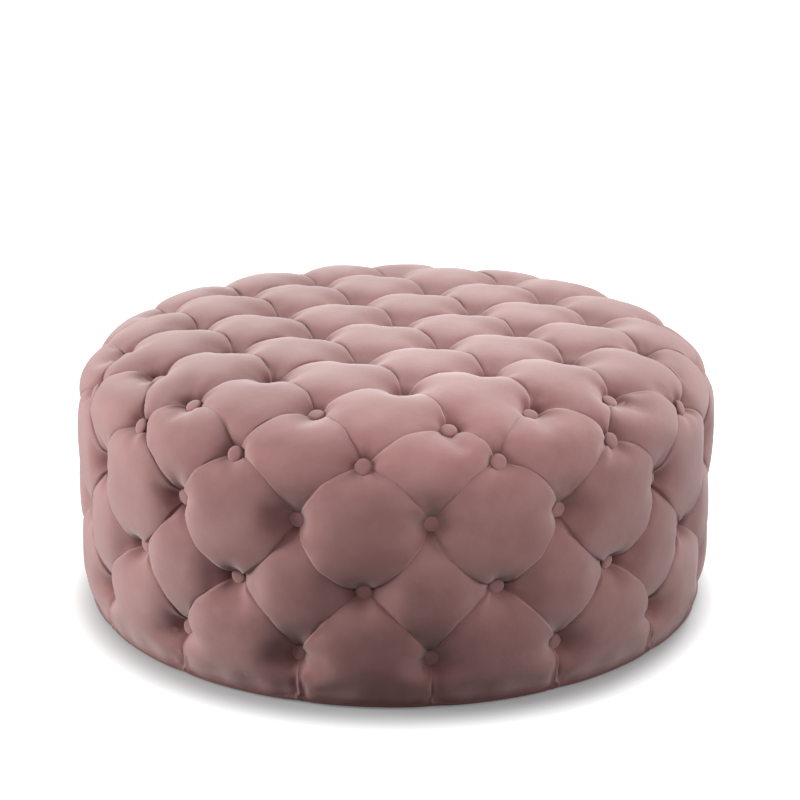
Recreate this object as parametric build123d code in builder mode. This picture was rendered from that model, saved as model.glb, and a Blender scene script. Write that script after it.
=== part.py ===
"""A round, all-over button-tufted velvet ottoman: plywood drum, foam, wadding, cover and buttons.

Millimetres. The floor is Z = 0, the drum's axis is the Z axis, and the front faces -Y.
"""

import os
from dataclasses import dataclass
from math import atan2, cos, degrees, hypot, radians, sin, sqrt, tan

from build123d import *

# Driving dimensions of the outside
outer_diameter = 910.0
overall_height = 392.0
rim_width = 178.0
rim_drop = 90.0
hem_inset = 11.0

# Tufting: buttons pulled into the pad, joined by pleats
row_heights = (65.0, 158.0, 249.0)
upper_row_height = 323.0
side_tuft_depth = 28.0
upper_tuft_depth = 27.0
tuft_spacing = 126.0
top_tuft_depth = 34.0
rim_tuft_drop = 41.0
rim_draw_in = 17.0
corner_tuft_drop = 34.0
corner_draw_in = 4.0
pleat_depth = 14.0
hem_pleat_depth = 19.0

# Covered buttons and the twine that holds them
button_diameter = 22.0
button_lift = 1.0
button_cone = 5.2
button_edge = 1.3
button_dome = 3.0
shank_diameter = 5.0
shank_length = 4.0
twine_diameter = 1.8
knot_diameter = 5.0
washer_diameter = 18.0
washer_thickness = 2.0
thread_clearance = 0.4

# Cloth and padding
cover_thickness = 1.6
wadding_at_button = 5.0
side_foam_thickness = 24.0
top_foam_thickness = 40.0
foam_rim_radius = 36.0
dust_cover_thickness = 0.8
dust_cover_margin = 4.0
flange_width = 112.0

# Timber drum
panel_thickness = 4.0
panel_joint_gap = 1.0
deck_thickness = 15.0
hoop_thickness = 18.0
hoop_width = 88.0
rail_width = 70.0
rail_thickness = 20.0
rail_end_gap = 16.0
post_width = 40.0
post_depth = 30.0
strut_size = 35.0
upper_twine_drop = 14.0
rim_twine_lean = 16.0

# Feet and fixings
glide_height = 3.0
glide_diameter = 36.0
glide_edge = 0.8
glide_ring_inset = 34.0
glide_count = 8
screw_diameter = 4.0
screw_head_diameter = 8.0
screw_bite = 28.0
short_screw_bite = 12.0
glide_head_sink = 0.9
rail_screw_gap = 34.0
rail_screw_inset = 30.0
nail_diameter = 1.6
nail_length = 18.0
nail_head_diameter = 6.0
nail_head_thickness = 1.0
nails_per_panel = 6
staple_crown = 11.0
staple_leg = 9.0
staple_wire = 0.6
cover_staple_inset = 6.0
cover_staple_count = 48
dust_staple_inset = 6.0
dust_staple_count = 40

# Levels, from the floor up
dust_cover_z = glide_height
staple_z = dust_cover_z + dust_cover_thickness
hem_z = staple_z + staple_wire
base_z = hem_z + cover_thickness
hoop_top = base_z + hoop_thickness
rail_top = hoop_top + rail_thickness
rim_seat_z = overall_height - rim_tuft_drop
foam_top = rim_seat_z - cover_thickness - wadding_at_button
deck_top = foam_top - top_foam_thickness
deck_z = deck_top - deck_thickness

# Radii, from the outside in
outer_radius = outer_diameter / 2
hem_radius = outer_radius - hem_inset
side_seat_radius = outer_radius - side_tuft_depth
foam_radius = side_seat_radius - cover_thickness - wadding_at_button
panel_radius = foam_radius - side_foam_thickness
frame_radius = panel_radius - panel_thickness
hoop_bore = frame_radius - hoop_width
flange_radius = hem_radius - flange_width
dust_cover_radius = frame_radius - dust_cover_margin
glide_ring = frame_radius - glide_ring_inset
post_centre = sqrt(frame_radius**2 - (post_width / 2) ** 2) - post_depth / 2

# The tuft net: a square lattice on top, whose outer ring meets staggered rows on the side
lattice_turn = 45.0
quarter_ring = [(3, 0), (3, 1), (2, 2), (1, 3)]
rim_ring = []
for turn in range(4):
    rim_ring += quarter_ring
    quarter_ring = [(-j, i) for i, j in quarter_ring]
columns = len(rim_ring)
column_angle = 360 / columns
inner_lattice = [
    (i, j) for i in range(-2, 3) for j in range(-2, 3) if abs(i) + abs(j) < 4
]
post_offset = 0.75 * column_angle
post_angles = [90 * k + side * post_offset for k in range(4) for side in (-1, 1)]

# Share of a quartic curve's height that each control point gives at its middle
middle_share = [1 / 16, 4 / 16, 6 / 16, 4 / 16, 1 / 16]
# How full a pillow is at its inner control points, as shares of its height
pillow_fullness = [[0.9, 1.5, 0.9], [1.5, 0.0, 1.5], [0.9, 1.5, 0.9]]
# The same from a pleat to a ridge, lower beside the buttons at the pleat's ends
half_fullness = [[-0.3, 0.4, 0.9], [0.3, 0.8, 1.0], [-0.3, 0.4, 0.9]]
crest_shoulder = 0.5


@dataclass
class Tuft:
    """One button's place: where the cover is pulled to, and where its twine is tied."""

    seat: Vector
    normal: Vector
    bend: Vector
    anchor: Vector


def polar(radius, angle, z):
    """A point at a radius, an angle in degrees and a height."""
    return Vector(radius * cos(radians(angle)), radius * sin(radians(angle)), z)


def envelope(point, inset):
    """Below zero inside the drum that the pillows' crests touch, set in by inset."""
    radial = max(hypot(point.X, point.Y) - (outer_radius - rim_width), 0)
    rise = max(point.Z - (overall_height - rim_drop), 0)
    return (radial / (rim_width - inset)) ** 2 + (rise / (rim_drop - inset)) ** 2 - 1


def reach(point, direction, inset):
    """Distance from a point inside the drum to its crests, along a direction."""
    near, far = 0.0, rim_width
    for _ in range(50):
        middle = (near + far) / 2
        if envelope(point + direction * middle, inset) < 0:
            near = middle
        else:
            far = middle
    return near


def facing(point):
    """The way that a button at this place faces: straight out of the drum."""
    angle = degrees(atan2(point.Y, point.X))
    radial = max(hypot(point.X, point.Y) - (outer_radius - rim_width), 0) / rim_width**2
    rise = max(point.Z - (overall_height - rim_drop), 0) / rim_drop**2
    return polar(radial, angle, rise).normalized()


def side_tuft(angle, height):
    """A button on the side, tied straight in through the bent panel."""
    seat = polar(side_seat_radius, angle, height)
    bend = polar(panel_radius, angle, height)
    return Tuft(seat, facing(seat), bend, polar(frame_radius, angle, height))


def upper_tuft(angle):
    """A button of the side's top row, whose twine slants in under the deck's edge."""
    seat = polar(outer_radius - upper_tuft_depth, angle, upper_row_height)
    tie_z = deck_z - upper_twine_drop
    bend = polar(panel_radius, angle, tie_z)
    return Tuft(seat, facing(seat), bend, polar(frame_radius, angle, tie_z))


def top_tuft(i, j):
    """A button of the top's lattice, tied down through the deck."""
    angle = degrees(atan2(j, i)) + lattice_turn
    radius = tuft_spacing * hypot(i, j)
    drop, draw_in, lean = top_tuft_depth, 0.0, 0.0
    if (i, j) in rim_ring:
        on_corner = abs(i) == abs(j)
        drop = corner_tuft_drop if on_corner else rim_tuft_drop
        draw_in = corner_draw_in if on_corner else rim_draw_in
        lean = rim_twine_lean
    radius -= draw_in
    seat = polar(radius, angle, overall_height - drop)
    bend = polar(radius - lean, angle, deck_top)
    return Tuft(seat, facing(seat), bend, polar(radius - lean, angle, deck_z))


whole_angles = [lattice_turn + k * column_angle for k in range(columns)]
half_angles = [angle + column_angle / 2 for angle in whole_angles]
row_1 = [side_tuft(angle, row_heights[0]) for angle in whole_angles]
row_2 = [side_tuft(angle, row_heights[1]) for angle in half_angles]
row_3 = [side_tuft(angle, row_heights[2]) for angle in whole_angles]
row_4 = [upper_tuft(angle) for angle in half_angles]
top = {place: top_tuft(*place) for place in inner_lattice + rim_ring}
rim = [top[place] for place in rim_ring]
centre_tufts = [top[place] for place in inner_lattice]
side_tufts = row_1 + row_2 + row_3 + row_4
all_tufts = side_tufts + rim + centre_tufts


# The tufted surface, one quartic patch for each pillow or half pillow
def spaced(start, end):
    """Five control points evenly along a straight line."""
    return [start * (1 - k / 4) + end * (k / 4) for k in range(5)]


def seat_at(tuft, inset):
    """Where a tuft pulls the surface that lies inset below the outside of the cover."""
    return tuft.seat - tuft.normal * inset


def pleat(start, end, inset, depth=pleat_depth):
    """A pleat between two tufts: level where it leaves each button, highest half way."""
    normal = (start.normal + end.normal).normalized()
    points = spaced(seat_at(start, inset), seat_at(end, inset))
    points[2] += normal * (reach(points[2], normal, inset + depth) / middle_share[2])
    return points


def crest_line(start, end, normal, inset):
    """The ridge of a pillow from one of its rims to another."""
    points = spaced(start, end)
    height = reach(points[2], normal, inset)
    points[1] += normal * (height * crest_shoulder)
    points[3] += normal * (height * crest_shoulder)
    shoulders = 2 * middle_share[1] * crest_shoulder
    points[2] += normal * (height * (1 - shoulders) / middle_share[2])
    return points


def first_half(points):
    """The control points of the first half of a curve."""
    half = []
    while points:
        half.append(points[0])
        points = [(a + b) / 2 for a, b in zip(points, points[1:])]
    return half


def pillow(a, b, c, d, inset):
    """The patch between four tufts, whose middle touches the drum of the crests."""
    seats = [seat_at(tuft, inset) for tuft in (a, b, c, d)]
    left, right = spaced(seats[0], seats[3]), spaced(seats[1], seats[2])
    net = [spaced(start, end) for start, end in zip(left, right)]
    normal = (a.normal + b.normal + c.normal + d.normal).normalized()
    height = reach(net[2][2], normal, inset)
    crest = net[2][2] + normal * height
    for i in range(1, 4):
        for j in range(1, 4):
            near = a.normal * (4 - j) + b.normal * j
            far = d.normal * (4 - j) + c.normal * j
            tilt = (near * (4 - i) + far * i).normalized()
            net[i][j] += tilt * (height * pillow_fullness[i - 1][j - 1])
    net[0], net[4] = pleat(a, b, inset), pleat(d, c, inset)
    for i, (start, end) in enumerate(zip(pleat(a, d, inset), pleat(b, c, inset))):
        net[i][0], net[i][4] = start, end
    middle = Vector(0, 0, 0)
    for row, row_share in zip(net, middle_share):
        for point, share in zip(row, middle_share):
            middle += point * (row_share * share)
    net[2][2] += normal * ((crest - middle).dot(normal) / middle_share[2] ** 2)
    return Face.make_bezier_surface(net)


def half_pillow(valley, crest, first, last, normal):
    """The patch from a pleat up to a pillow's ridge, between two other rims."""
    net = [first]
    for low, high, fullness in zip(valley[1:4], crest[1:4], half_fullness):
        rise = (high - low).dot(normal)
        row = spaced(low, high)
        for k, share in enumerate(fullness, 1):
            row[k] += normal * (rise * (share - k / 4))
        net.append(row)
    net.append(last)
    return Face.make_bezier_surface(net)


def hem_arc(start_angle, end_angle, inset):
    """Control points of the hem's round edge between two angles."""
    radius, z = hem_radius - inset, hem_z + inset
    handle = radius * 4 / 3 * tan(radians(end_angle - start_angle) / 4)
    start, end = polar(radius, start_angle, z), polar(radius, end_angle, z)
    near = start + polar(handle, start_angle + 90, 0)
    far = end - polar(handle, end_angle + 90, 0)
    return [start, (start + near * 3) / 4, (near + far) / 2, (far * 3 + end) / 4, end]


def hem_pillow(k, inset):
    """The two halves of a pillow that hangs from row 2 to the hem between two pleats."""
    following = (k + 1) % columns
    upper = row_2[k]
    left_angle = whole_angles[k]
    middle_angle = half_angles[k]
    right_angle = left_angle + column_angle
    left_arc = hem_arc(left_angle, middle_angle, inset)
    right_arc = hem_arc(middle_angle, right_angle, inset)
    ridge = crest_line(seat_at(upper, inset), left_arc[4], upper.normal, inset)
    faces = []
    for lower, hem_point, arc in (
        (row_1[k], left_arc[0], left_arc),
        (row_1[following], right_arc[4], right_arc[::-1]),
    ):
        foot = Tuft(hem_point + lower.normal * inset, lower.normal, hem_point, hem_point)
        normal = (lower.normal + upper.normal).normalized()
        valley = pleat(lower, foot, inset, hem_pleat_depth)
        faces.append(half_pillow(valley, ridge, pleat(lower, upper, inset), arc, normal))
    return faces


def rim_pentagon(k, inset):
    """The two halves of a five-sided pillow that rolls over the rim."""
    near, far, below = rim[k], rim[(k + 1) % columns], row_4[k]
    near_in, far_in = (inner_neighbour(k), inner_neighbour((k + 1) % columns))
    seam = pleat(near_in, far_in, inset)
    near_half, far_half = first_half(seam), first_half(seam[::-1])
    normal = (near.normal + far.normal + below.normal).normalized()
    ridge = crest_line(near_half[4], seat_at(below, inset), normal, inset)
    faces = []
    for inner, outer, half in ((near_in, near, near_half), (far_in, far, far_half)):
        valley = pleat(inner, outer, inset)
        faces.append(half_pillow(valley, ridge, half, pleat(outer, below, inset), normal))
    return faces


def inner_neighbour(k):
    """The lattice tuft that lies just inside a rim tuft."""
    i, j = rim_ring[k]
    return top[(i - (i > 2) + (i < -2), j - (j > 2) + (j < -2))]


def tufted_faces(inset):
    """Every patch of the tufted surface that lies inset below the cover's outside."""
    faces = []
    for i in range(-2, 2):
        for j in range(-2, 2):
            corners = top[i, j], top[i + 1, j], top[i + 1, j + 1], top[i, j + 1]
            faces.append(pillow(*corners, inset))
    for k in range(columns):
        before, after = (k - 1) % columns, (k + 1) % columns
        faces.append(pillow(row_3[k], row_4[k], rim[k], row_4[before], inset))
        faces.append(pillow(row_2[k], row_3[after], row_4[k], row_3[k], inset))
        faces.append(pillow(row_1[k], row_2[k], row_3[k], row_2[before], inset))
        faces += hem_pillow(k, inset)
        if k % 4 in (0, 3):
            faces += rim_pentagon(k, inset)
        else:
            inner = inner_neighbour(k if k % 4 == 1 else after)
            faces.append(pillow(inner, rim[k], row_4[k], rim[after], inset))
    return faces


def hem_wire(inset):
    """The closed edge of the tufted surface at the hem."""
    edges = []
    for start, middle in zip(whole_angles, half_angles):
        edges.append(Edge.make_bezier(*hem_arc(start, middle, inset)))
        edges.append(Edge.make_bezier(*hem_arc(middle, start + column_angle, inset)))
    return Wire(edges)


def ring_face(outline, bore, z):
    """A level face between an outline and a round bore."""
    return Face(outline, [Wire(Edge.make_circle(bore, Plane.XY.offset(z)))])


def write(piece, name):
    """Label a finished piece and write its STEP file."""
    piece.label = name
    export_step(piece, f"parts/{name}.step")


def facing_planes(tufts):
    """The planes on which the buttons of some tufts sit."""
    return [Plane(origin=tuft.seat, z_dir=tuft.normal) for tuft in tufts]


def anchor_plane(tuft, gap):
    """The plane of a tuft's washer, a gap away from the timber, facing along the twine."""
    along = (tuft.bend - tuft.anchor).normalized()
    return Plane(origin=tuft.anchor - along * gap, z_dir=along)


def shank_end(tuft):
    """Where a button's shank ends and its twine starts."""
    return tuft.seat - tuft.normal * shank_length


def rod(start, end, diameter):
    """A round rod from one point to another."""
    with BuildPart() as bar:
        with BuildSketch(Plane(origin=start, z_dir=end - start)):
            Circle(diameter / 2)
        extrude(amount=(end - start).length)
    return bar.part


def pad_hole(tuft):
    """The hole that a tuft's twine makes in the padding, down to the timber."""
    start = shank_end(tuft)
    return rod(start, tuft.bend + (tuft.bend - start).normalized() * hole_diameter, hole_diameter)


def timber_hole(tuft):
    """The hole that is drilled for a tuft's twine in the panel or the deck."""
    past = (tuft.anchor - tuft.bend).normalized() * hole_diameter
    return rod(tuft.bend - past, tuft.anchor + past, hole_diameter)


def strand(tuft, reach_in):
    """A tuft's twine, from the shank to the timber and on through it, with a ball where it bends."""
    end = tuft.anchor + (tuft.anchor - tuft.bend).normalized() * reach_in
    with BuildPart() as cord:
        add(rod(shank_end(tuft), tuft.bend, twine_diameter))
        add(rod(tuft.bend, end, twine_diameter))
        with Locations(tuft.bend):
            Sphere(twine_diameter / 2)
    return cord.part


def pad_core(bottom):
    """The shape of the foam from a level up: a drum with a rounded rim."""
    shoulder = (foam_radius - foam_rim_radius, foam_top)
    rim_start = (foam_radius, foam_top - foam_rim_radius)
    with BuildPart() as core:
        with BuildSketch(Plane.XZ):
            with BuildLine():
                Polyline((0, foam_top), (0, bottom), (foam_radius, bottom), rim_start)
                RadiusArc(rim_start, shoulder, -foam_rim_radius)
                Line(shoulder, (0, foam_top))
            make_face()
        revolve(axis=Axis.Z)
    return core.part


os.makedirs("parts", exist_ok=True)
upright = (Align.CENTER, Align.CENTER, Align.MIN)
hung = (Align.CENTER, Align.CENTER, Align.MAX)

# Fixings, which also cut their own holes
with BuildPart() as screw_head:
    Cone(
        screw_head_diameter / 2,
        screw_diameter / 2,
        (screw_head_diameter - screw_diameter) / 2,
        align=upright,
    )

with BuildPart() as nail:
    Cylinder(nail_diameter / 2, nail_length, align=upright)
    Cylinder(nail_head_diameter / 2, nail_head_thickness, align=upright)

with BuildPart() as staple:
    Box(staple_wire, staple_crown, staple_wire, align=hung)
    with GridLocations(0, staple_crown - staple_wire, 1, 2):
        Box(staple_wire, staple_wire, staple_leg, align=upright)


def screw_set(places, length):
    """Countersunk screws whose heads' faces lie on some planes, pointing along them."""
    with BuildPart() as screws:
        with Locations(*places):
            add(screw_head.part)
            Cylinder(screw_diameter / 2, length, align=upright)
    return screws.part


post_spots = [polar(post_centre, angle, 0) for angle in post_angles]
strut_radius = tuft_spacing / sqrt(2)
strut_spots = [polar(strut_radius, 90 * k, 0) for k in range(4)]
rail_screw_radius = frame_radius - rail_end_gap - rail_screw_inset
glide_angles = [360 / glide_count * (k + 0.5) for k in range(glide_count)]
glide_spots = [polar(glide_ring, angle, 0) for angle in glide_angles]
down, up = Vector(0, 0, -1), Vector(0, 0, 1)

deck_screws = screw_set(
    [Plane(origin=spot + up * deck_top, z_dir=down) for spot in post_spots + strut_spots],
    deck_thickness + screw_bite,
)
base_screws = screw_set(
    [Plane(origin=spot + up * base_z, z_dir=up) for spot in post_spots],
    hoop_thickness + screw_bite,
)
strut_screws = screw_set(
    [Plane(origin=spot + up * hoop_top, z_dir=up) for spot in strut_spots],
    rail_thickness + screw_bite,
)
rail_screw_places = []
for k in range(4):
    for side in (-1, 1):
        across = polar(side * rail_screw_gap / 2, 90 * k + 90, rail_top)
        spot = polar(rail_screw_radius, 90 * k, 0) + across
        rail_screw_places.append(Plane(origin=spot, z_dir=down))
rail_screws = screw_set(rail_screw_places, rail_thickness + short_screw_bite)
glide_screws = screw_set(
    [Plane(origin=spot + up * glide_head_sink, z_dir=up) for spot in glide_spots],
    base_z - glide_head_sink + short_screw_bite,
)

nail_pitch = 90 / nails_per_panel
nail_angles = [post_offset + (k + 0.5) * nail_pitch for k in range(4 * nails_per_panel)]
nail_levels = (base_z + hoop_thickness / 2, deck_z + deck_thickness / 2)
with BuildPart() as panel_nails:
    with Locations(
        *[
            Plane(origin=polar(panel_radius, angle, z), z_dir=polar(-1, angle, 0))
            for angle in nail_angles
            for z in nail_levels
        ]
    ):
        add(nail.part)

with BuildPart() as cover_staples:
    with Locations((0, 0, hem_z)):
        with PolarLocations(flange_radius + cover_staple_inset, cover_staple_count):
            add(staple.part)

with BuildPart() as dust_cover_staples:
    with Locations((0, 0, dust_cover_z)):
        with PolarLocations(dust_cover_radius - dust_staple_inset, dust_staple_count):
            add(staple.part)

# Holes for the twines
hole_diameter = twine_diameter + 2 * thread_clearance
side_pad_holes = [pad_hole(tuft) for tuft in side_tufts]
top_pad_holes = [pad_hole(tuft) for tuft in rim + centre_tufts]
upper_pad_holes = side_pad_holes[-columns:]
panel_holes = [timber_hole(tuft) for tuft in side_tufts]
deck_holes = [timber_hole(tuft) for tuft in rim + centre_tufts]

# Timber drum
with BuildPart() as base_hoop:
    with BuildSketch(Plane.XY.offset(base_z)):
        Circle(frame_radius)
        Circle(hoop_bore, mode=Mode.SUBTRACT)
    extrude(amount=hoop_thickness)
    add(base_screws, mode=Mode.SUBTRACT)
    add(rail_screws, mode=Mode.SUBTRACT)
    add(glide_screws, mode=Mode.SUBTRACT)
    add(panel_nails.part, mode=Mode.SUBTRACT)
    add(cover_staples.part, mode=Mode.SUBTRACT)
    add(dust_cover_staples.part, mode=Mode.SUBTRACT)
write(base_hoop.part, "base_hoop")

rail_length = 2 * (frame_radius - rail_end_gap)
for name, turn, lap_align in (("cross_rail_x", 0, Align.MAX), ("cross_rail_y", 90, Align.MIN)):
    with BuildPart() as rail:
        with Locations(Location((0, 0, hoop_top), (0, 0, turn))):
            Box(rail_length, rail_width, rail_thickness, align=upright)
        with Locations((0, 0, hoop_top + rail_thickness / 2)):
            Box(
                rail_width,
                rail_width,
                rail_thickness / 2,
                align=(Align.CENTER, Align.CENTER, lap_align),
                mode=Mode.SUBTRACT,
            )
        add(rail_screws, mode=Mode.SUBTRACT)
        add(strut_screws, mode=Mode.SUBTRACT)
    write(rail.part, name)

for number, angle in enumerate(post_angles, 1):
    with BuildPart() as post:
        with Locations(Location(polar(post_centre, angle, hoop_top), (0, 0, angle))):
            Box(post_depth, post_width, deck_z - hoop_top, align=upright)
        add(deck_screws, mode=Mode.SUBTRACT)
        add(base_screws, mode=Mode.SUBTRACT)
    write(post.part, f"post_{number}")

for number, spot in enumerate(strut_spots, 1):
    with BuildPart() as strut:
        with Locations(spot + up * rail_top):
            Box(strut_size, strut_size, deck_z - rail_top, align=upright)
        add(deck_screws, mode=Mode.SUBTRACT)
        add(strut_screws, mode=Mode.SUBTRACT)
    write(strut.part, f"strut_{number}")

with BuildPart() as top_deck:
    with BuildSketch(Plane.XY.offset(deck_z)):
        Circle(frame_radius)
    extrude(amount=deck_thickness)
    add(deck_holes, mode=Mode.SUBTRACT)
    add(deck_screws, mode=Mode.SUBTRACT)
    add(panel_nails.part, mode=Mode.SUBTRACT)
write(top_deck.part, "top_deck")

joint_angle = degrees(panel_joint_gap / panel_radius)
for number in range(1, 5):
    start = post_offset + 90 * (number - 1) + joint_angle / 2
    with BuildPart() as panel:
        with BuildSketch(Plane.XZ.rotated((0, 0, start))):
            with Locations(((frame_radius + panel_radius) / 2, (base_z + deck_top) / 2)):
                Rectangle(panel_thickness, deck_top - base_z)
        revolve(axis=Axis.Z, revolution_arc=90 - joint_angle)
        add(panel_holes, mode=Mode.SUBTRACT)
        add(panel_nails.part, mode=Mode.SUBTRACT)
    write(panel.part, f"side_panel_{number}")

write(deck_screws, "deck_screws")
write(base_screws, "base_screws")
write(strut_screws, "strut_screws")
write(rail_screws, "rail_screws")
write(panel_nails.part, "panel_nails")

# Foam: two half wraps on the side and a round-edged slab on top
with BuildPart() as side_foam:
    with BuildSketch(Plane.XY.offset(base_z)):
        Circle(foam_radius)
        Circle(panel_radius, mode=Mode.SUBTRACT)
    extrude(amount=deck_top - base_z)
    add(side_pad_holes, mode=Mode.SUBTRACT)
butt_joint = Plane.XZ.rotated((0, 0, column_angle / 4))
for name, half in (("side_foam_front", Keep.TOP), ("side_foam_rear", Keep.BOTTOM)):
    with BuildPart() as wrap:
        add(side_foam.part)
        split(bisect_by=butt_joint, keep=half)
    write(wrap.part, name)

with BuildPart() as top_foam:
    add(pad_core(deck_top))
    add(top_pad_holes + upper_pad_holes, mode=Mode.SUBTRACT)
write(top_foam.part, "top_foam")

# Wadding that fills the pillows, and the velvet drawn over it
lining_faces = tufted_faces(cover_thickness)
shank_hole_radius = shank_diameter / 2 + thread_clearance
core_walls = [face for face in pad_core(base_z).faces() if face.center().Z > base_z]
wadding_foot = ring_face(hem_wire(cover_thickness), foam_radius, base_z)
with BuildPart() as fibre_wadding:
    add(Solid(Shell(lining_faces + core_walls + [wadding_foot])))
    with Locations(*facing_planes(all_tufts)):
        Cylinder(shank_hole_radius, shank_length, align=hung, mode=Mode.SUBTRACT)
    add(side_pad_holes + top_pad_holes, mode=Mode.SUBTRACT)
write(fibre_wadding.part, "fibre_wadding")

hem_under = ring_face(hem_wire(0), flange_radius, hem_z)
hem_over = ring_face(hem_wire(cover_thickness), flange_radius, base_z)
flange_rim = Edge.make_circle(flange_radius, Plane.XY.offset(hem_z))
raw_edge = Face.extrude(flange_rim, up * cover_thickness)
with BuildPart() as velvet_cover:
    add(Solid(Shell(tufted_faces(0) + lining_faces + [hem_under, hem_over, raw_edge])))
    with Locations(*facing_planes(all_tufts)):
        Cylinder(shank_hole_radius, 2 * shank_length, mode=Mode.SUBTRACT)
    add(cover_staples.part, mode=Mode.SUBTRACT)
    add(dust_cover_staples.part, mode=Mode.SUBTRACT)
    add(glide_screws, mode=Mode.SUBTRACT)
write(velvet_cover.part, "velvet_cover")

# Covered buttons, with the twine and washer that hold each one
button_radius = button_diameter / 2
button_brim = button_lift + button_cone
button_shoulder = button_brim + button_edge
dome_radius = (button_radius**2 + button_dome**2) / (2 * button_dome)
with BuildPart() as button:
    with BuildSketch(Plane.XZ):
        with BuildLine():
            Polyline(
                (0, button_shoulder + button_dome),
                (0, -shank_length),
                (shank_diameter / 2, -shank_length),
                (shank_diameter / 2, button_lift),
                (button_radius, button_brim),
                (button_radius, button_shoulder),
            )
            RadiusArc(
                (button_radius, button_shoulder),
                (0, button_shoulder + button_dome),
                -dome_radius,
            )
        make_face()
    revolve(axis=Axis.Z)

for name, tufts in (
    ("buttons_row_1", row_1),
    ("buttons_row_2", row_2),
    ("buttons_row_3", row_3),
    ("buttons_row_4", row_4),
    ("buttons_rim", rim),
    ("buttons_top", centre_tufts),
):
    with BuildPart() as button_row:
        with Locations(*facing_planes(tufts)):
            add(button.part)
    write(button_row.part, name)

washer_sag = frame_radius - sqrt(frame_radius**2 - (washer_diameter / 2) ** 2)
for name, tufts, gap in (
    ("side", side_tufts, washer_sag),
    ("rim", rim, 0.0),
    ("top", centre_tufts, 0.0),
):
    knot_reach = gap + washer_thickness + knot_diameter / 2
    with BuildPart() as twines:
        add([strand(tuft, knot_reach) for tuft in tufts])
        with Locations(*[anchor_plane(tuft, knot_reach) for tuft in tufts]):
            Sphere(knot_diameter / 2)
    write(twines.part, f"{name}_twines")
    with BuildPart() as washers:
        with Locations(*[anchor_plane(tuft, gap) for tuft in tufts]):
            Cylinder(washer_diameter / 2, washer_thickness, align=hung)
            Cylinder(hole_diameter / 2, 2 * washer_thickness, mode=Mode.SUBTRACT)
    write(washers.part, f"{name}_washers")

# Underside: dust cover, its staples and the glides
with BuildPart() as dust_cover:
    with BuildSketch(Plane.XY.offset(dust_cover_z)):
        Circle(dust_cover_radius)
    extrude(amount=dust_cover_thickness)
    add(dust_cover_staples.part, mode=Mode.SUBTRACT)
    add(glide_screws, mode=Mode.SUBTRACT)
write(dust_cover.part, "dust_cover")
write(cover_staples.part, "cover_staples")
write(dust_cover_staples.part, "dust_cover_staples")

head_bore = (screw_head_diameter + thread_clearance) / 2
for number, spot in enumerate(glide_spots, 1):
    with BuildPart() as glide:
        with Locations(spot):
            Cylinder(glide_diameter / 2, glide_height, align=upright)
        fillet(glide.edges().group_by(Axis.Z)[0], glide_edge)
        with Locations(spot):
            Cylinder(head_bore, glide_head_sink, align=upright, mode=Mode.SUBTRACT)
        add(glide_screws, mode=Mode.SUBTRACT)
    write(glide.part, f"glide_{number}")
write(glide_screws, "glide_screws")
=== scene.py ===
"""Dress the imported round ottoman: tufted velvet, covered buttons, padding, timber and a plain stage.

Metres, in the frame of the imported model: the floor is Z = 0 and the drum's axis is the Z axis.
"""

from math import atan2, cos, degrees, hypot, pi, radians, sin

import bmesh
import bpy
import numpy as np
from bpy.props import FloatProperty, FloatVectorProperty, IntProperty, PointerProperty
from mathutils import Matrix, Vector


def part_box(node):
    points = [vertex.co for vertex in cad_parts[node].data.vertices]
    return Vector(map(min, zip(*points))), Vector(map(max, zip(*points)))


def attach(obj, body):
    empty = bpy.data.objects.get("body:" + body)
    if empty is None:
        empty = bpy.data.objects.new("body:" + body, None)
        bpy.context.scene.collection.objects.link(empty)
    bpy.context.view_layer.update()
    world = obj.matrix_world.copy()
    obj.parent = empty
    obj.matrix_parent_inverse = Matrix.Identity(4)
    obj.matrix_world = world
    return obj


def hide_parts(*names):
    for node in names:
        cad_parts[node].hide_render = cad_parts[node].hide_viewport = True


bl_info = {
    "name": "Tufted Velvet Ottoman",
    "version": (1, 0, 0),
    "blender": (4, 5, 0),
    "location": "View3D > Sidebar > Ottoman",
    "description": "Dresses a round tufted ottoman around its packed frame",
    "category": "Object",
}

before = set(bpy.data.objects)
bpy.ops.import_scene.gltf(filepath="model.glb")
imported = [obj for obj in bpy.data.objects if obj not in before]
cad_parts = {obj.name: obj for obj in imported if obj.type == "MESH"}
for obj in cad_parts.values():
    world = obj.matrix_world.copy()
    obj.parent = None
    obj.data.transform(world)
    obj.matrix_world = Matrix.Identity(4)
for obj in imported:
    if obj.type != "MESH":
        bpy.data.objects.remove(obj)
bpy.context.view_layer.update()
cover_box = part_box("velvet_cover")
deck_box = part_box("top_deck")

BODY = "root"

# The tuft net, as the part's source has it
ROW_HEIGHTS = (0.065, 0.158, 0.249)
UPPER_ROW_HEIGHT = 0.323
SIDE_TUFT_DEPTH = 0.028
UPPER_TUFT_DEPTH = 0.027
TOP_TUFT_DEPTH = 0.034
TUFT_SPACING = 0.126
RIM_TUFT_DROP = 0.041
RIM_DRAW_IN = 0.017
CORNER_TUFT_DROP = 0.034
CORNER_DRAW_IN = 0.004
LATTICE_TURN = 45.0
QUARTER_RING = ((3, 0), (3, 1), (2, 2), (1, 3))

# How square the rounded rim is: 2 is an ellipse
RIM_POWER = 2.5

# How far the cloth already leans in where the hem's roll begins
HEM_LEAN = radians(22)

# Room that is left under the crests for the cover to fill out into
FILL_ROOM = 0.0035

# Padding under the cover
WADDING_AT_BUTTON = 0.005
COVER_THICKNESS = 0.0016
WADDING_INSET = 3 * COVER_THICKNESS
WADDING_REACH = 0.08
WADDING_SHARE = 0.98
SIDE_FOAM = 0.024
FOAM_RIM_RADIUS = 0.036
FOAM_EDGE = 0.002
FOAM_JOINT_ANGLE = 5.625
FOAM_JOINT_GAP = 0.05
FOAM_WRAP_END = 180 - FOAM_JOINT_GAP

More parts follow.
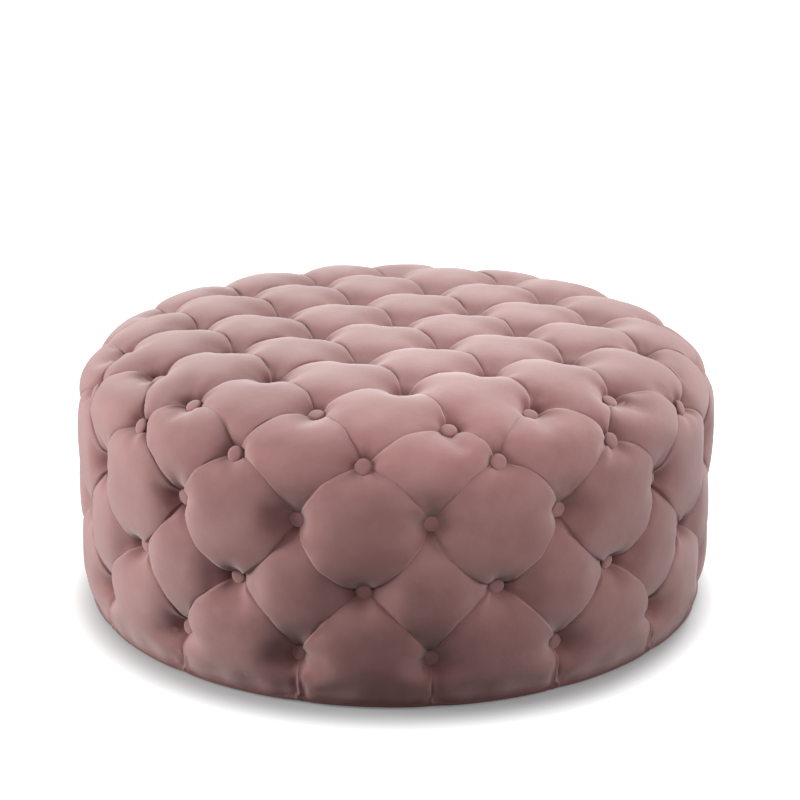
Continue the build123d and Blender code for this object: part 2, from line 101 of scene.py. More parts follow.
# Steps along round forms, and rings of the cover's flange
FOAM_STEPS = 96
EDGE_STEPS = 4
RIM_STEPS = 8
FLANGE_RINGS = 8
LINING_RINGS = 3

# Which pillows overlap their neighbours: those of some rows, and those nearer the front
PILLOW_RANKS = [1.0, 2.0, 0.5, 1.5, 0.3]
FRONT = (0.28, -0.96, 0.0)
FRONT_RANK = 4.0
RANK_JITTER = 0.5

# Least and most that a pleat's bow differs from the set share
BOW_SPREAD = (0.6, 1.3)

# How closely a pillow's points gather at its buttons: 0 spaces them evenly
CLUSTERING = 0.8

# Slow swells of the stuffing: waves over a metre, their height and the depth over which they fade
SWELL_WAVES = (14.0, 23.0, 37.0)
SWELLS_PER_WAVE = 3
SWELL_HEIGHT = 0.006
SWELL_FADE = 0.01

# The floor, and how its glow grows away from the foot of the ottoman: the weaker glow near the foot lets the
# real shadow show and also paints a darker ring there, wider at the front
FLOOR_RADIUS = 9.0
FLOOR_SEGMENTS = 96
GLOW_CENTRE = (0.008, -0.028, 0.0)
GLOW_REACH = (0.42, 0.5)
GLOW_STRENGTH = (0.15, 1.0)

# Light: each lamp's place, target, spread in degrees, width and power
ROOM_STRENGTH = 0.15
MIDDLE = (0.0, 0.0, 0.2)
LAMPS = (
    ("left_lamp", (-2.55, -1.25, 1.1), MIDDLE, 180, 1.6, 90.0),
    ("right_lamp", (2.8, 0.2, 1.0), MIDDLE, 180, 1.6, 37.0),
    ("back_lamp", (0.8, 1.9, 2.3), MIDDLE, 180, 1.2, 60.0),
    ("front_lamp", (0.5, -1.55, 1.15), (0.2, -0.38, 0.4), 28, 0.3, 0.34),
)

# The camera's lens
SENSOR_WIDTH = 36.0
LENS = 88.8
LENS_SHIFT = (0.0059, 0.034)
VIEW_END = 50.0

# Seeds of the random draws
RANK_SEED = 3
SWELL_SEED = 5
BOW_SEED = 7
PULL_SEED = 11
PUCKER_SEED = 17

HALVINGS = 40
WELD_DISTANCE = 1e-6

# Covered buttons: their mesh, how square the dome is and the shade towards the rim
BUTTON_SEGMENTS = 28
BUTTON_RINGS = 14
DOME_POWER = -0.42
DOME_MIDDLE = 0.001
RIM_SHADE_REACH = (0.75, 1.0)
RIM_SHADE = (0.12, 0.75)
BUTTON_ROWS = ("row_1", "row_2", "row_3", "row_4", "rim", "top")


def length_setting(label, text, default):
    """A size in metres that a user may change."""
    return FloatProperty(name=label, description=text, default=default, unit="LENGTH", precision=4)


def colour_setting(label, text, default):
    """A linear colour that a user may change."""
    return FloatVectorProperty(
        name=label, description=text, default=default, subtype="COLOR", min=0.0, max=1.0
    )


class TuftingSettings(bpy.types.PropertyGroup):
    """Sizes of the tufted cover"""

    outer_radius: length_setting("Outer radius", "Radius that the side pillows reach", cover_box[1].x)
    height: length_setting("Height", "Height that the top pillows reach", cover_box[1].z)
    rim_width: length_setting("Rim width", "How far in the rounded rim starts on top", 0.178)
    rim_drop: length_setting("Rim drop", "How far down the rounded rim ends on the side", 0.09)
    rim_ease: FloatProperty(
        name="Rim ease", description="How gently the rim runs into top and side", default=1.2
    )
    hem_inset: length_setting("Hem inset", "How far the hem is drawn in under the side", 0.008)
    hem_height: length_setting("Hem height", "Height of the flange under the base", cover_box[0].z)
    hem_low: length_setting("Hem low", "Height of the lowest part of the rolled hem", 0.001)
    hem_roll: length_setting("Hem roll", "Radius of the hem's rolled edge", 0.009)
    flange_width: length_setting("Flange", "Width of the cover turned in under the base", 0.115)
    dent_radius: length_setting("Dent radius", "Width of the dent round a side button", 0.0265)
    top_dent_radius: length_setting("Top dent radius", "Width of the dent round a top button", 0.04)
    crease_depth: length_setting("Crease depth", "Depth of the fold line beside a button", 0.0048)
    fold_depth: length_setting("Fold depth", "Depth of the hollow half way along a side pleat", 0.0038)
    top_fold_depth: length_setting("Top fold depth", "The same for a top pleat", 0.0085)
    fold_width: length_setting("Fold width", "Width over which the hollow fades", 0.05)
    bow: FloatProperty(
        name="Bow", description="How far a pillow's edge swells over its neighbour", default=0.1
    )
    steps: IntProperty(
        name="Steps", description="Faces along each side of a pillow", default=24, min=8, max=48
    )


class VelvetSettings(bpy.types.PropertyGroup):
    """Colours of the velvet"""

    pile: colour_setting("Pile", "Colour of the pile seen straight on", (0.365, 0.176, 0.168))
    brushed: colour_setting("Brushed", "Colour where the pile lies the other way", (0.43, 0.222, 0.213))
    # Painted shade: the dark colour that the velvet takes on in creases, hollows, button pockets, at the hem
    # and at the buttons' rims
    fold: colour_setting("Fold", "Colour deep in the folds", (0.1, 0.03, 0.028))
    # Painted sheen: the lighter colour that the pile turns to towards grazing angles
    painted_sheen: colour_setting("Painted sheen", "Colour of the pile's tips, seen along the cloth", (0.56, 0.385, 0.37))
    sheen: colour_setting("Sheen", "Tint of the light along the pile", (1.0, 0.95, 0.95))


class ButtonSettings(bpy.types.PropertyGroup):
    """Sizes of the covered buttons"""

    radius: length_setting("Radius", "Radius of a covered button", 0.011)
    half_height: length_setting("Half height", "Half the thickness of a covered button", 0.004)
    lift: length_setting("Lift", "Height of a button's middle over its seat", 0.0027)
    tilt: FloatProperty(
        name="Tilt", description="Most that a button leans", default=radians(4), subtype="ANGLE"
    )


class StageSettings(bpy.types.PropertyGroup):
    """Floor, light and camera"""

    floor: colour_setting("Floor", "Colour of the floor", (0.4, 0.4, 0.4))
    bounce: colour_setting("Bounce", "Colour of the floor as it lights the cover", (0.06, 0.06, 0.06))
    azimuth: FloatProperty(
        name="Azimuth", description="Camera's turn from the front", default=radians(16.5), subtype="ANGLE"
    )
    elevation: FloatProperty(
        name="Elevation", description="Camera's rise", default=radians(19.13), subtype="ANGLE"
    )
    distance: length_setting("Distance", "Camera's distance from its target", 2.867)
    target_height: length_setting("Target height", "Height that the camera looks at", 0.2278)


def polar(radius, angle, z):
    """A point at a radius, an angle in degrees and a height."""
    return np.array((radius * cos(radians(angle)), radius * sin(radians(angle)), z))


def unit(vectors):
    """Vectors of length one."""
    return vectors / np.linalg.norm(vectors, axis=-1, keepdims=True)


class TuftNet:
    """Buttons, the pleats between them and the pillows they bound."""

    def __init__(self, tufting):
        self.size = tufting
        self.hem_radius = tufting.outer_radius - tufting.hem_inset
        self.hem_top = tufting.hem_low + tufting.hem_roll * (1 - sin(HEM_LEAN))
        self.seats = []
        self.rows = {}
        self.place_buttons()
        self.button_count = len(self.seats)
        self.rows["foot"] = [
            self.add(polar(self.hem_radius, angle, self.hem_top)) for angle in self.whole_angles
        ]
        self.seats = np.array(self.seats)
        self.normals = self.facing(self.seats)
        self.cells, self.ranks = self.find_cells()
        self.lay_pleats()

    def add(self, seat):
        """Keep one more knot of the net and give its number."""
        self.seats.append(seat)
        return len(self.seats) - 1

    def place_buttons(self):
        """The seats of the side's four rows, the rim's ring and the top's lattice."""
        radius, height = self.size.outer_radius, self.size.height
        ring = list(QUARTER_RING)
        self.rim_ring = []
        for _ in range(4):
            self.rim_ring += ring
            ring = [(-j, i) for i, j in ring]
        self.columns = len(self.rim_ring)
        step = 360 / self.columns
        self.whole_angles = [LATTICE_TURN + k * step for k in range(self.columns)]
        half_angles = [angle + step / 2 for angle in self.whole_angles]
        side_rows = (
            ("row_1", self.whole_angles, SIDE_TUFT_DEPTH, ROW_HEIGHTS[0]),
            ("row_2", half_angles, SIDE_TUFT_DEPTH, ROW_HEIGHTS[1]),
            ("row_3", self.whole_angles, SIDE_TUFT_DEPTH, ROW_HEIGHTS[2]),
            ("row_4", half_angles, UPPER_TUFT_DEPTH, UPPER_ROW_HEIGHT),
        )
        for name, angles, depth, level in side_rows:
            self.rows[name] = [self.add(polar(radius - depth, angle, level)) for angle in angles]
        self.lattice = {}
        reach = range(-2, 3)
        inner = [(i, j) for i in reach for j in reach if abs(i) + abs(j) < 4]
        for i, j in inner + self.rim_ring:
            drop, draw_in = TOP_TUFT_DEPTH, 0.0
            if (i, j) in self.rim_ring:
                corner = abs(i) == abs(j)
                drop = CORNER_TUFT_DROP if corner else RIM_TUFT_DROP
                draw_in = CORNER_DRAW_IN if corner else RIM_DRAW_IN
            angle = degrees(atan2(j, i)) + LATTICE_TURN
            self.lattice[i, j] = self.add(polar(TUFT_SPACING * hypot(i, j) - draw_in, angle, height - drop))
        self.rows["top"] = [self.lattice[place] for place in inner]
        self.rows["rim"] = [self.lattice[place] for place in self.rim_ring]

    def find_cells(self):
        """The corners of every pillow, anticlockwise from outside, and which pillows lie over others."""
        row_1, row_2, row_3, row_4 = (self.rows[f"row_{n}"] for n in range(1, 5))
        rim, foot, at = self.rows["rim"], self.rows["foot"], self.lattice
        cells = [
            [at[i, j], at[i + 1, j], at[i + 1, j + 1], at[i, j + 1]]
            for i in range(-2, 2)
            for j in range(-2, 2)
        ]
        ranks = [0.0] * len(cells)
        for k in range(self.columns):
            before, after = (k - 1) % self.columns, (k + 1) % self.columns
            cells.append([row_3[k], row_4[k], rim[k], row_4[before]])
            cells.append([row_2[k], row_3[after], row_4[k], row_3[k]])
            cells.append([row_1[k], row_2[k], row_3[k], row_2[before]])
            cells.append([foot[k], foot[after], row_1[after], row_2[k], row_1[k]])
            inward = [self.inner_neighbour(k), self.inner_neighbour(after)]
            if k % 4 == 1:
                inward.pop()
            elif k % 4 == 2:
                inward.pop(0)
            cells.append([rim[k], row_4[k], rim[after]] + inward[::-1])
            ranks += PILLOW_RANKS
        for cell in cells:
            corners, outward = self.seats[cell], self.normals[cell].sum(axis=0)
            turn = np.cross(corners[1] - corners[0], corners[2] - corners[1])
            if turn @ outward < 0:
                cell.reverse()
        ranks = np.array(ranks) + np.random.default_rng(RANK_SEED).uniform(0, RANK_JITTER, len(cells))
        for number, cell in enumerate(cells):
            ranks[number] += FRONT_RANK * self.seats[cell].mean(axis=0) @ FRONT / self.size.outer_radius
        return cells, ranks

    def lay_pleats(self):
        """The pleats between buttons, and for each the pillow that is tucked under its neighbour."""
        owners = {}
        for number, cell in enumerate(self.cells):
            for edge in zip(cell, cell[1:] + cell[:1]):
                owners.setdefault(tuple(sorted(edge)), []).append(number)
        feet = set(self.rows["foot"])
        pleats = sorted(edge for edge in owners if not feet.issuperset(edge))
        self.pleats = np.array(pleats)
        self.tucked = np.zeros((len(self.cells), len(pleats)), dtype=bool)
        self.bows = {edge: np.zeros(3) for edge in owners}
        draw = np.random.default_rng(BOW_SEED)
        for number, pleat in enumerate(pleats):
            lower, upper = sorted(owners[pleat], key=lambda cell: self.ranks[cell])
            self.tucked[lower, number] = True
            share = self.size.bow * draw.uniform(*BOW_SPREAD)
            if feet.isdisjoint(pleat):
                self.bows[pleat] = share * self.towards(pleat, self.cells[upper], self.cells[lower])

    def towards(self, pleat, upper, lower):
        """A vector as long as a pleat, along the cover from one pillow to the next."""
        run = self.seats[pleat[1]] - self.seats[pleat[0]]
        across = np.cross(unit(self.normals[list(pleat)].sum(axis=0)), run)
        way = self.seats[lower].mean(axis=0) - self.seats[upper].mean(axis=0)
        return across * np.sign(across @ way)

    def inner_neighbour(self, k):
        """The lattice knot just inside a rim knot."""
        i, j = self.rim_ring[k]
        return self.lattice[i - (i > 2) + (i < -2), j - (j > 2) + (j < -2)]

    def facing(self, points):
        """The way straight out of the drum at some points."""
        size = self.size
        flat = np.linalg.norm(points[:, :2], axis=1)
        radial = np.maximum(flat - (size.outer_radius - size.rim_width), 0) / size.rim_width**2
        rise = np.maximum(points[:, 2] - (size.height - size.rim_drop), 0) / size.rim_drop**2
        around = np.arctan2(points[:, 1], points[:, 0])
        return unit(np.stack((radial * np.cos(around), radial * np.sin(around), rise), axis=1))

    def outside(self, points):
        """Above zero outside the drum that the pillows' crests touch."""
        size = self.size
        flat = np.linalg.norm(points[:, :2], axis=1) + FILL_ROOM
        tuck_top = ROW_HEIGHTS[0] + self.hem_top
        tuck = np.clip((tuck_top - points[:, 2]) / (tuck_top - self.hem_top), 0, 1)
        flat = flat + size.hem_inset * tuck**2
        wide, tall = size.rim_width * size.rim_ease, size.rim_drop * size.rim_ease
        radial = np.maximum(flat - (size.outer_radius - wide), 0) / wide
        rise = np.maximum(points[:, 2] + FILL_ROOM - (size.height - tall), 0) / tall
        return radial**RIM_POWER + rise**RIM_POWER - 1


def cross_out(inside_test, points, directions, furthest):
    """Distance from each point along its direction to where a test turns from below to above zero."""
    near = np.zeros(len(points))
    far = np.full(len(points), furthest)
    for _ in range(HALVINGS):
        middle = (near + far) / 2
        below = inside_test(points + directions * middle[:, None]) < 0
        near = np.where(below, middle, near)
        far = np.where(below, far, middle)
    return near


def clustered(steps):
    """Shares of the way from one button to the next, closer together at both ends."""
    even = np.linspace(0, 1, steps + 1)
    return even - CLUSTERING / (2 * pi) * np.sin(2 * pi * even)


def patch_weights(corner_count, steps):
    """Grids over a pillow: for each grid point, its share of each of the pillow's corners."""
    shares = clustered(steps)
    own = np.eye(corner_count)
    if corner_count == 4:
        return [blend_grid(own, shares)]
    half = shares[: steps // 2 + 1] * 2
    grids = []
    for n in range(corner_count):
        ahead = (own[n] + own[(n + 1) % corner_count]) / 2
        behind = (own[n] + own[n - 1]) / 2
        middle = own.mean(axis=0)
        grids.append(blend_grid(np.array((own[n], ahead, middle, behind)), half))
    return grids


def blend_grid(corners, shares):
    """A square grid blended between four corners."""
    along, across = np.meshgrid(shares, shares, indexing="ij")
    weights = ((1 - along) * (1 - across), along * (1 - across), along * across, (1 - along) * across)
    return sum(weight[..., None] * corner for weight, corner in zip(weights, corners))


class Pull:
    """How far buttons and pleats draw the cover in, a little differently at each."""

    # Dents round the buttons, wider in a pillow that lies under its neighbours
    radius_spread = (0.9, 1.1)
    widest_lean = 1.3
    least_lean = 0.62
    dent_share = 0.66
    dent_power = 1.6
    core_radius = 0.0165
    core_power = 4.0
    rim_share = 0.6

    # How dents and pleats add up, and how far below a button's seat they may reach
    gather = 3.0
    limit_power = 6.0
    slack = 0.002
    slack_share = 0.09

    # Pleats: hollows along them, and creases that are sharper in the pillow that lies over the other
    crease_spread = (0.5, 1.4)
    fold_spread = (0.75, 1.25)
    end_fold = 0.009
    hem_grip = 0.15
    fading = 0.82
    hem_fading = 0.25
    sharp_side = 0.003
    tucked_side = 0.01
    over_share = 0.92
    tucked_share = 1.1

    # Shade in the creases, in the hollows, beside the buttons and at the hem
    tucked_shade_width = 0.004
    over_shade_width = 0.006
    line_shade_strength = 0.85
    hollow_shade_strength = 1.0
    hollow_shade_power = 1.4
    pocket_shade_strength = 1.25
    pocket_shade_radius = 0.018
    hem_shade = 0.75
    hem_shade_height = 0.012

    # Small puckers round the buttons
    pucker_axis = (0.31, 0.88, 0.36)
    pucker_depth = 0.002
    pucker_reach = 0.034
    pucker_gain = 2.3
    pucker_fade = 2.5
    pucker_spread = (0.2, 1.0)
    least_puckers = 5
    most_puckers = 9
    cross_puckers = 3
    cross_share = 0.4

    # Second folds beside the hem's pleats
    flap_depth = 0.005
    flap_width = 0.003
    flap_spread = (0.2, 1.0)
    flap_rise = 2.5
    flap_fall = 0.5
    least_flap = 0.007
    most_flap = 0.015

    # Points that are worked out at a time
    part_size = 3000

    def __init__(self, net):
        size = net.size
        self.net = net
        draw = np.random.default_rng(PULL_SEED)
        count = net.button_count
        seats, normals = net.seats[:count], net.normals[:count]
        self.depths = cross_out(net.outside, seats, normals, size.rim_width)
        on_top = np.zeros(len(net.seats))
        on_top[net.rows["rim"]] = self.rim_share
        on_top[net.rows["top"]] = 1.0
        radii = size.dent_radius + (size.top_dent_radius - size.dent_radius) * on_top[:count]
        self.radii = radii * draw.uniform(*self.radius_spread, count)
        self.leans = self.lean(count)
        pleat_count = len(net.pleats)
        self.creases = size.crease_depth * draw.uniform(*self.crease_spread, pleat_count)
        folds = size.fold_depth + (size.top_fold_depth - size.fold_depth) * on_top[net.pleats].mean(axis=1)
        self.folds = folds * draw.uniform(*self.fold_spread, pleat_count)
        grips = np.ones(len(net.seats))
        grips[net.rows["foot"]] = self.hem_grip
        self.grips = grips[net.pleats]
        self.fadings = np.where(self.grips.min(axis=1) < 1, self.hem_fading, self.fading)
        self.widths = np.where(net.tucked, self.tucked_side, self.sharp_side)
        self.shade_widths = np.where(net.tucked, self.tucked_shade_width, self.over_shade_width)
        self.shares = np.where(net.tucked, self.tucked_share, self.over_share)
        self.bows = np.array([net.bows[tuple(pleat)] for pleat in net.pleats.tolist()])
        self.puckers = self.gather_puckers(seats, normals)
        self.flaps = self.fold_flaps(draw)

    def gather_puckers(self, seats, normals):
        """Each button's two axes along the cover, and its number of puckers, their turn and depth."""
        draw = np.random.default_rng(PUCKER_SEED)
        count = len(seats)
        level = unit(np.cross(normals, self.pucker_axis))
        rising = np.cross(normals, level)
        numbers = draw.integers(self.least_puckers, self.most_puckers, count)
        turns = draw.uniform(0, 2 * pi, count)
        return level, rising, numbers, turns, draw.uniform(*self.pucker_spread, count)

    def fold_flaps(self, draw):
        """Start, run and depth of the second fold beside each pleat that runs down to the hem."""
        net = self.net
        starts, runs, depths = [], [], []
        for above, foot in zip(net.rows["row_1"], net.rows["foot"]):
            seat = net.seats[foot]
            aside = unit(np.cross((0.0, 0.0, 1.0), net.normals[foot]))
            shift = draw.uniform(self.least_flap, self.most_flap) * draw.choice((-1.0, 1.0))
            starts.append(net.seats[above])
            runs.append(seat + aside * shift - net.seats[above])
            depths.append(self.flap_depth * draw.uniform(*self.flap_spread))
        return np.array(starts), np.array(runs), np.array(depths)

    def puckered(self, points, gap):
        """Small folds that run out from the nearest button."""
        level, rising, numbers, turns, shares = self.puckers
        nearest = gap.argmin(axis=1)
        reach = gap[np.arange(len(points)), nearest] / self.pucker_reach
        offset = points - self.net.seats[nearest]
        around = np.arctan2((offset * rising[nearest]).sum(axis=1), (offset * level[nearest]).sum(axis=1))
        waves = np.sin(numbers[nearest] * around + turns[nearest])
        waves += self.cross_share * np.sin(self.cross_puckers * around - turns[nearest])
        fade = np.exp(-(reach**2) * self.pucker_fade)
        return self.pucker_depth * shares[nearest] * waves * self.pucker_gain * reach * fade

    def flapped(self, points):
        """The second folds beside the hem's pleats."""
        starts, runs, depths = self.flaps
        offset = points[:, None] - starts[None]
        along = np.clip((offset * runs).sum(axis=2) / (runs * runs).sum(axis=1), 0, 1)
        away = np.linalg.norm(offset - along[..., None] * runs, axis=2)
        shown = np.clip(self.flap_rise * along, 0, 1) * (1 - self.flap_fall * along)
        return (depths * shown * np.exp(-((away / self.flap_width) ** 2))).sum(axis=1)

    def lean(self, count):
        """How wide each button's dent is in each pillow: least in the pillow that lies over the rest."""
        leans = np.ones((len(self.net.cells), count))
        for button in range(count):
            around = [number for number, cell in enumerate(self.net.cells) if button in cell]
            around.sort(key=lambda cell: self.net.ranks[cell])
            leans[around, button] = np.linspace(self.widest_lean, self.least_lean, len(around))
        return leans

    def at(self, points, owners, limit):
        """Depth under the crests at some points of the net, and the painted shade of each in creases,
        hollows, pockets and at the hem.
        """
        pieces = max(len(points) // self.part_size, 1)
        parts = [
            self.chunk(*part)
            for part in zip(*(np.array_split(whole, pieces) for whole in (points, owners, limit)))
        ]
        depth, near = zip(*parts)
        return np.concatenate(depth), np.concatenate(near)

    def chunk(self, points, owners, limit):
        """The same for a part of the points."""
        net, size = self.net, self.net.size
        seats = net.seats[: net.button_count]
        gap = np.linalg.norm(points[:, None] - seats[None], axis=2)
        radii = self.radii * self.leans[owners]
        dent = self.dent_share * np.exp(-((gap / radii) ** self.dent_power))
        core = (1 - self.dent_share) * np.exp(-((gap / self.core_radius) ** self.core_power))
        pulled = self.depths * (dent + core)
        start = net.seats[net.pleats[:, 0]]
        run = net.seats[net.pleats[:, 1]] - start
        offset = points[:, None] - start[None]
        along = np.clip((offset * run).sum(axis=2) / (run * run).sum(axis=1), 0, 1)
        middle = 4 * along * (1 - along)
        away = np.linalg.norm(offset - along[..., None] * run - middle[..., None] * self.bows, axis=2)
        grip = self.grips[:, 0] * (1 - along) + self.grips[:, 1] * along
        faded = np.sqrt(grip) * (1 - self.fadings * middle)
        crease = self.creases * faded * np.exp(-away / self.widths[owners])
        fold = grip * (self.folds * middle + self.end_fold * (1 - middle)) * self.shares[owners]
        pleat = crease + fold * (1 - np.minimum(away / size.fold_width, 1)) ** 2
        total = (pulled**self.gather).sum(axis=1) + (pleat**self.gather).sum(axis=1)
        total **= 1 / self.gather
        total = np.maximum(total + self.puckered(points, gap) + self.flapped(points), 0)
        room = limit * (1 + self.slack_share) + self.slack
        depth = total / (1 + (total / room) ** self.limit_power) ** (1 / self.limit_power)
        # Painted shade: a dark line along each pleat, darker deep hollows, dark pockets beside the buttons
        # of tucked pillows and a darker band at the hem's foot
        line = (self.line_shade_strength * faded * np.exp(-away / self.shade_widths[owners])).max(axis=1)
        hollow = self.hollow_shade_strength * (depth / TOP_TUFT_DEPTH) ** self.hollow_shade_power
        tuck = (self.leans[owners] - self.least_lean) / (self.widest_lean - self.least_lean)
        pocket = (self.pocket_shade_strength * tuck * np.exp(-((gap / self.pocket_shade_radius) ** 2))).max(axis=1)
        low = self.hem_shade * (1 - (points[:, 2] - net.hem_top) / self.hem_shade_height)
        return depth, np.clip(np.stack((line, hollow, pocket, low)).max(axis=0), 0, 1)


def unevenness(points):
    """Slow swells of the stuffing, a millimetre or so."""
    swell = np.zeros(len(points))
    draw = np.random.default_rng(SWELL_SEED)
    for wave in SWELL_WAVES:
        for _ in range(SWELLS_PER_WAVE):
            direction = unit(draw.normal(size=3)) * wave
            swell += np.sin(points @ direction + draw.uniform(0, 2 * pi)) / wave
    return swell * SWELL_HEIGHT


def grid_faces(numbers):
    """Quads between the rows and columns of a grid of vertex numbers."""
    quads = (numbers[:-1, :-1], numbers[1:, :-1], numbers[1:, 1:], numbers[:-1, 1:])
    return np.stack(quads, axis=-1).reshape(-1, 4)


def averaged(numbers, values):
    """The means of the rows that share a number."""
    count = np.bincount(numbers)
    return np.stack([np.bincount(numbers, column) / count for column in values.T], axis=1)


class Skin:
    """One layer of the tufted cloth: its vertices, faces and each vertex's painted shade in creases,
    hollows, pockets and at the hem.
    """

    roll_steps = 6
    foot_tolerance = 1e-6
    merge_step = 1e-4
    merge_shift = 0.3
    pleat_lift = 0.1
    flange_slope = 3
    flange_hold = 3

    def __init__(self, net, pull, steps, inset, filling=None):
        self.net = net
        self.inset = inset
        self.steps = steps
        weights, bows, self.faces, self.hems, owners = self.lay_out()
        self.keys = weights @ net.seats + bows
        self.directions = unit(weights @ net.normals)
        reach = cross_out(net.outside, self.keys, self.directions, net.size.rim_width)
        self.depth, self.near = pull.at(self.keys, owners, reach)
        crests = self.keys + self.directions * reach[:, None]
        sunk = self.depth + inset - unevenness(crests) * np.exp(-self.depth / SWELL_FADE)
        self.points = crests - self.directions * sunk[:, None]
        if filling:
            self.points += filling.at(steps)

    def lay_out(self):
        """Corner weights, bows and faces of every pillow's grid, hem rows and each vertex's pillow."""
        net = self.net
        weights, bows, faces, hems, owners = [], [], [], [], []
        first = 0
        for number, cell in enumerate(net.cells):
            for grid in patch_weights(len(cell), self.steps):
                rows, columns = grid.shape[:2]
                spread = np.zeros((rows * columns, len(net.seats)))
                spread[:, cell] = grid.reshape(-1, len(cell))
                weights.append(spread)
                bows.append(
                    sum(
                        4 * spread[:, [a]] * spread[:, [b]] * net.bows[min(a, b), max(a, b)]
                        for a, b in zip(cell, cell[1:] + cell[:1])
                    )
                )
                owners.append(np.full(rows * columns, number))
                numbers = first + np.arange(rows * columns).reshape(rows, columns)
                faces.append(grid_faces(numbers))
                hems += self.hem_rows(spread, numbers)
                first += rows * columns
        weights, bows, faces, owners = map(np.concatenate, (weights, bows, faces, owners))
        return weights, bows, faces, hems, owners

    def hem_rows(self, spread, numbers):
        """The grid edges that lie on the hem, running anticlockwise seen from above."""
        on_foot = spread[:, self.net.rows["foot"]].sum(axis=1) > 1 - self.foot_tolerance
        middles = spread @ self.net.seats
        low = numbers.min()
        found = []
        for edge in (numbers[0], numbers[:, 0], numbers[-1], numbers[:, -1]):
            if on_foot[edge - low].all():
                start, end = middles[edge[0] - low], middles[edge[-1] - low]
                clockwise = np.cross(start, end)[2] < 0
                found.append(edge[::-1] if clockwise else edge)
        return found

    def turn_under(self, rings):
        """Add the hem's roll and the flange under the base, and give each flange's inner edge."""
        edges = []
        for hem in self.hems:
            around = np.arctan2(self.points[hem, 1], self.points[hem, 0])
            outward = np.stack((np.cos(around), np.sin(around), around * 0), axis=1)
            drawn_in = self.depth[hem]
            start = len(self.points)
            for radius, z, hold in self.under_profile(rings):
                level = np.array((0, 0, z))
                ring = outward * (radius - drawn_in * hold)[:, None] + level
                ring[:, 2] += drawn_in * (1 - hold) * self.pleat_lift
                self.points = np.concatenate((self.points, ring))
                self.keys = np.concatenate((self.keys, outward * radius + level))
                # The painted shade runs on into the roll and the flange, fading as the hold does
                self.near = np.concatenate((self.near, self.near[hem] * hold))
            numbers = np.vstack((hem, np.arange(start, len(self.points)).reshape(-1, len(hem))))
            self.faces = np.concatenate((self.faces, grid_faces(numbers)))
            edges.append(numbers[-1])
        return edges

    def under_profile(self, rings):
        """Radius, height and hold on the pleats, from the hem round its roll to the raw edge."""
        size = self.net.size
        roll = size.hem_roll - self.inset
        centre = self.net.hem_radius - size.hem_roll * cos(HEM_LEAN)
        middle = size.hem_low + size.hem_roll
        profile = []
        for n in range(1, self.roll_steps + 1):
            turn = HEM_LEAN + (pi / 2 - HEM_LEAN) * n / self.roll_steps
            profile.append((centre + roll * cos(turn), middle - roll * sin(turn), 1.0))
        end = self.net.hem_radius - size.flange_width
        low, level = middle - roll, size.hem_height + self.inset
        for n in range(1, rings + 1):
            share = n / rings
            rise = (level - low) * min(1.0, share * self.flange_slope)
            profile.append((centre + (end - centre) * share, low + rise, (1 - share) ** self.flange_hold))
        return profile

    def merge(self):
        """Make one vertex of the doubles where pillows meet, and give each old vertex's new number."""
        places = np.floor(self.keys / self.merge_step + self.merge_shift).astype(np.int64)
        numbers = np.unique(places, axis=0, return_inverse=True)[1].ravel()
        self.points = averaged(numbers, self.points)
        self.near = averaged(numbers, self.near[:, None])[:, 0]
        self.faces = numbers[self.faces]
        return numbers


def linked(name, data):
    """A new object in the scene."""
    item = bpy.data.objects.new(name, data)
    bpy.context.collection.objects.link(item)
    return item


def mesh_piece(name, points, faces):
    """A smooth mesh object at the origin."""
    mesh = bpy.data.meshes.new(name)
    mesh.from_pydata(points.tolist(), [], faces)
    mesh.shade_smooth()
    return linked(name, mesh)


def applied(piece):
    """A plain mesh of a piece as its modifiers shape it."""
    graph = bpy.context.evaluated_depsgraph_get()
    return bpy.data.meshes.new_from_object(piece.evaluated_get(graph))


def discard(piece):
    """Take a helper piece and its mesh away again."""
    mesh = piece.data
    bpy.data.objects.remove(piece)
    bpy.data.meshes.remove(mesh)


def doubled(grid):
    """Twice as many steps along a grid's first axis, on a smooth curve through the old points."""
    longer = np.concatenate((2 * grid[:1] - grid[1:2], grid, 2 * grid[-1:] - grid[-2:-1]))
    finer = np.empty((2 * len(grid) - 1, *grid.shape[1:]))
    finer[::2] = grid
    finer[1::2] = (9 * (grid[:-1] + grid[1:]) - longer[:-3] - longer[3:]) / 16
    return finer


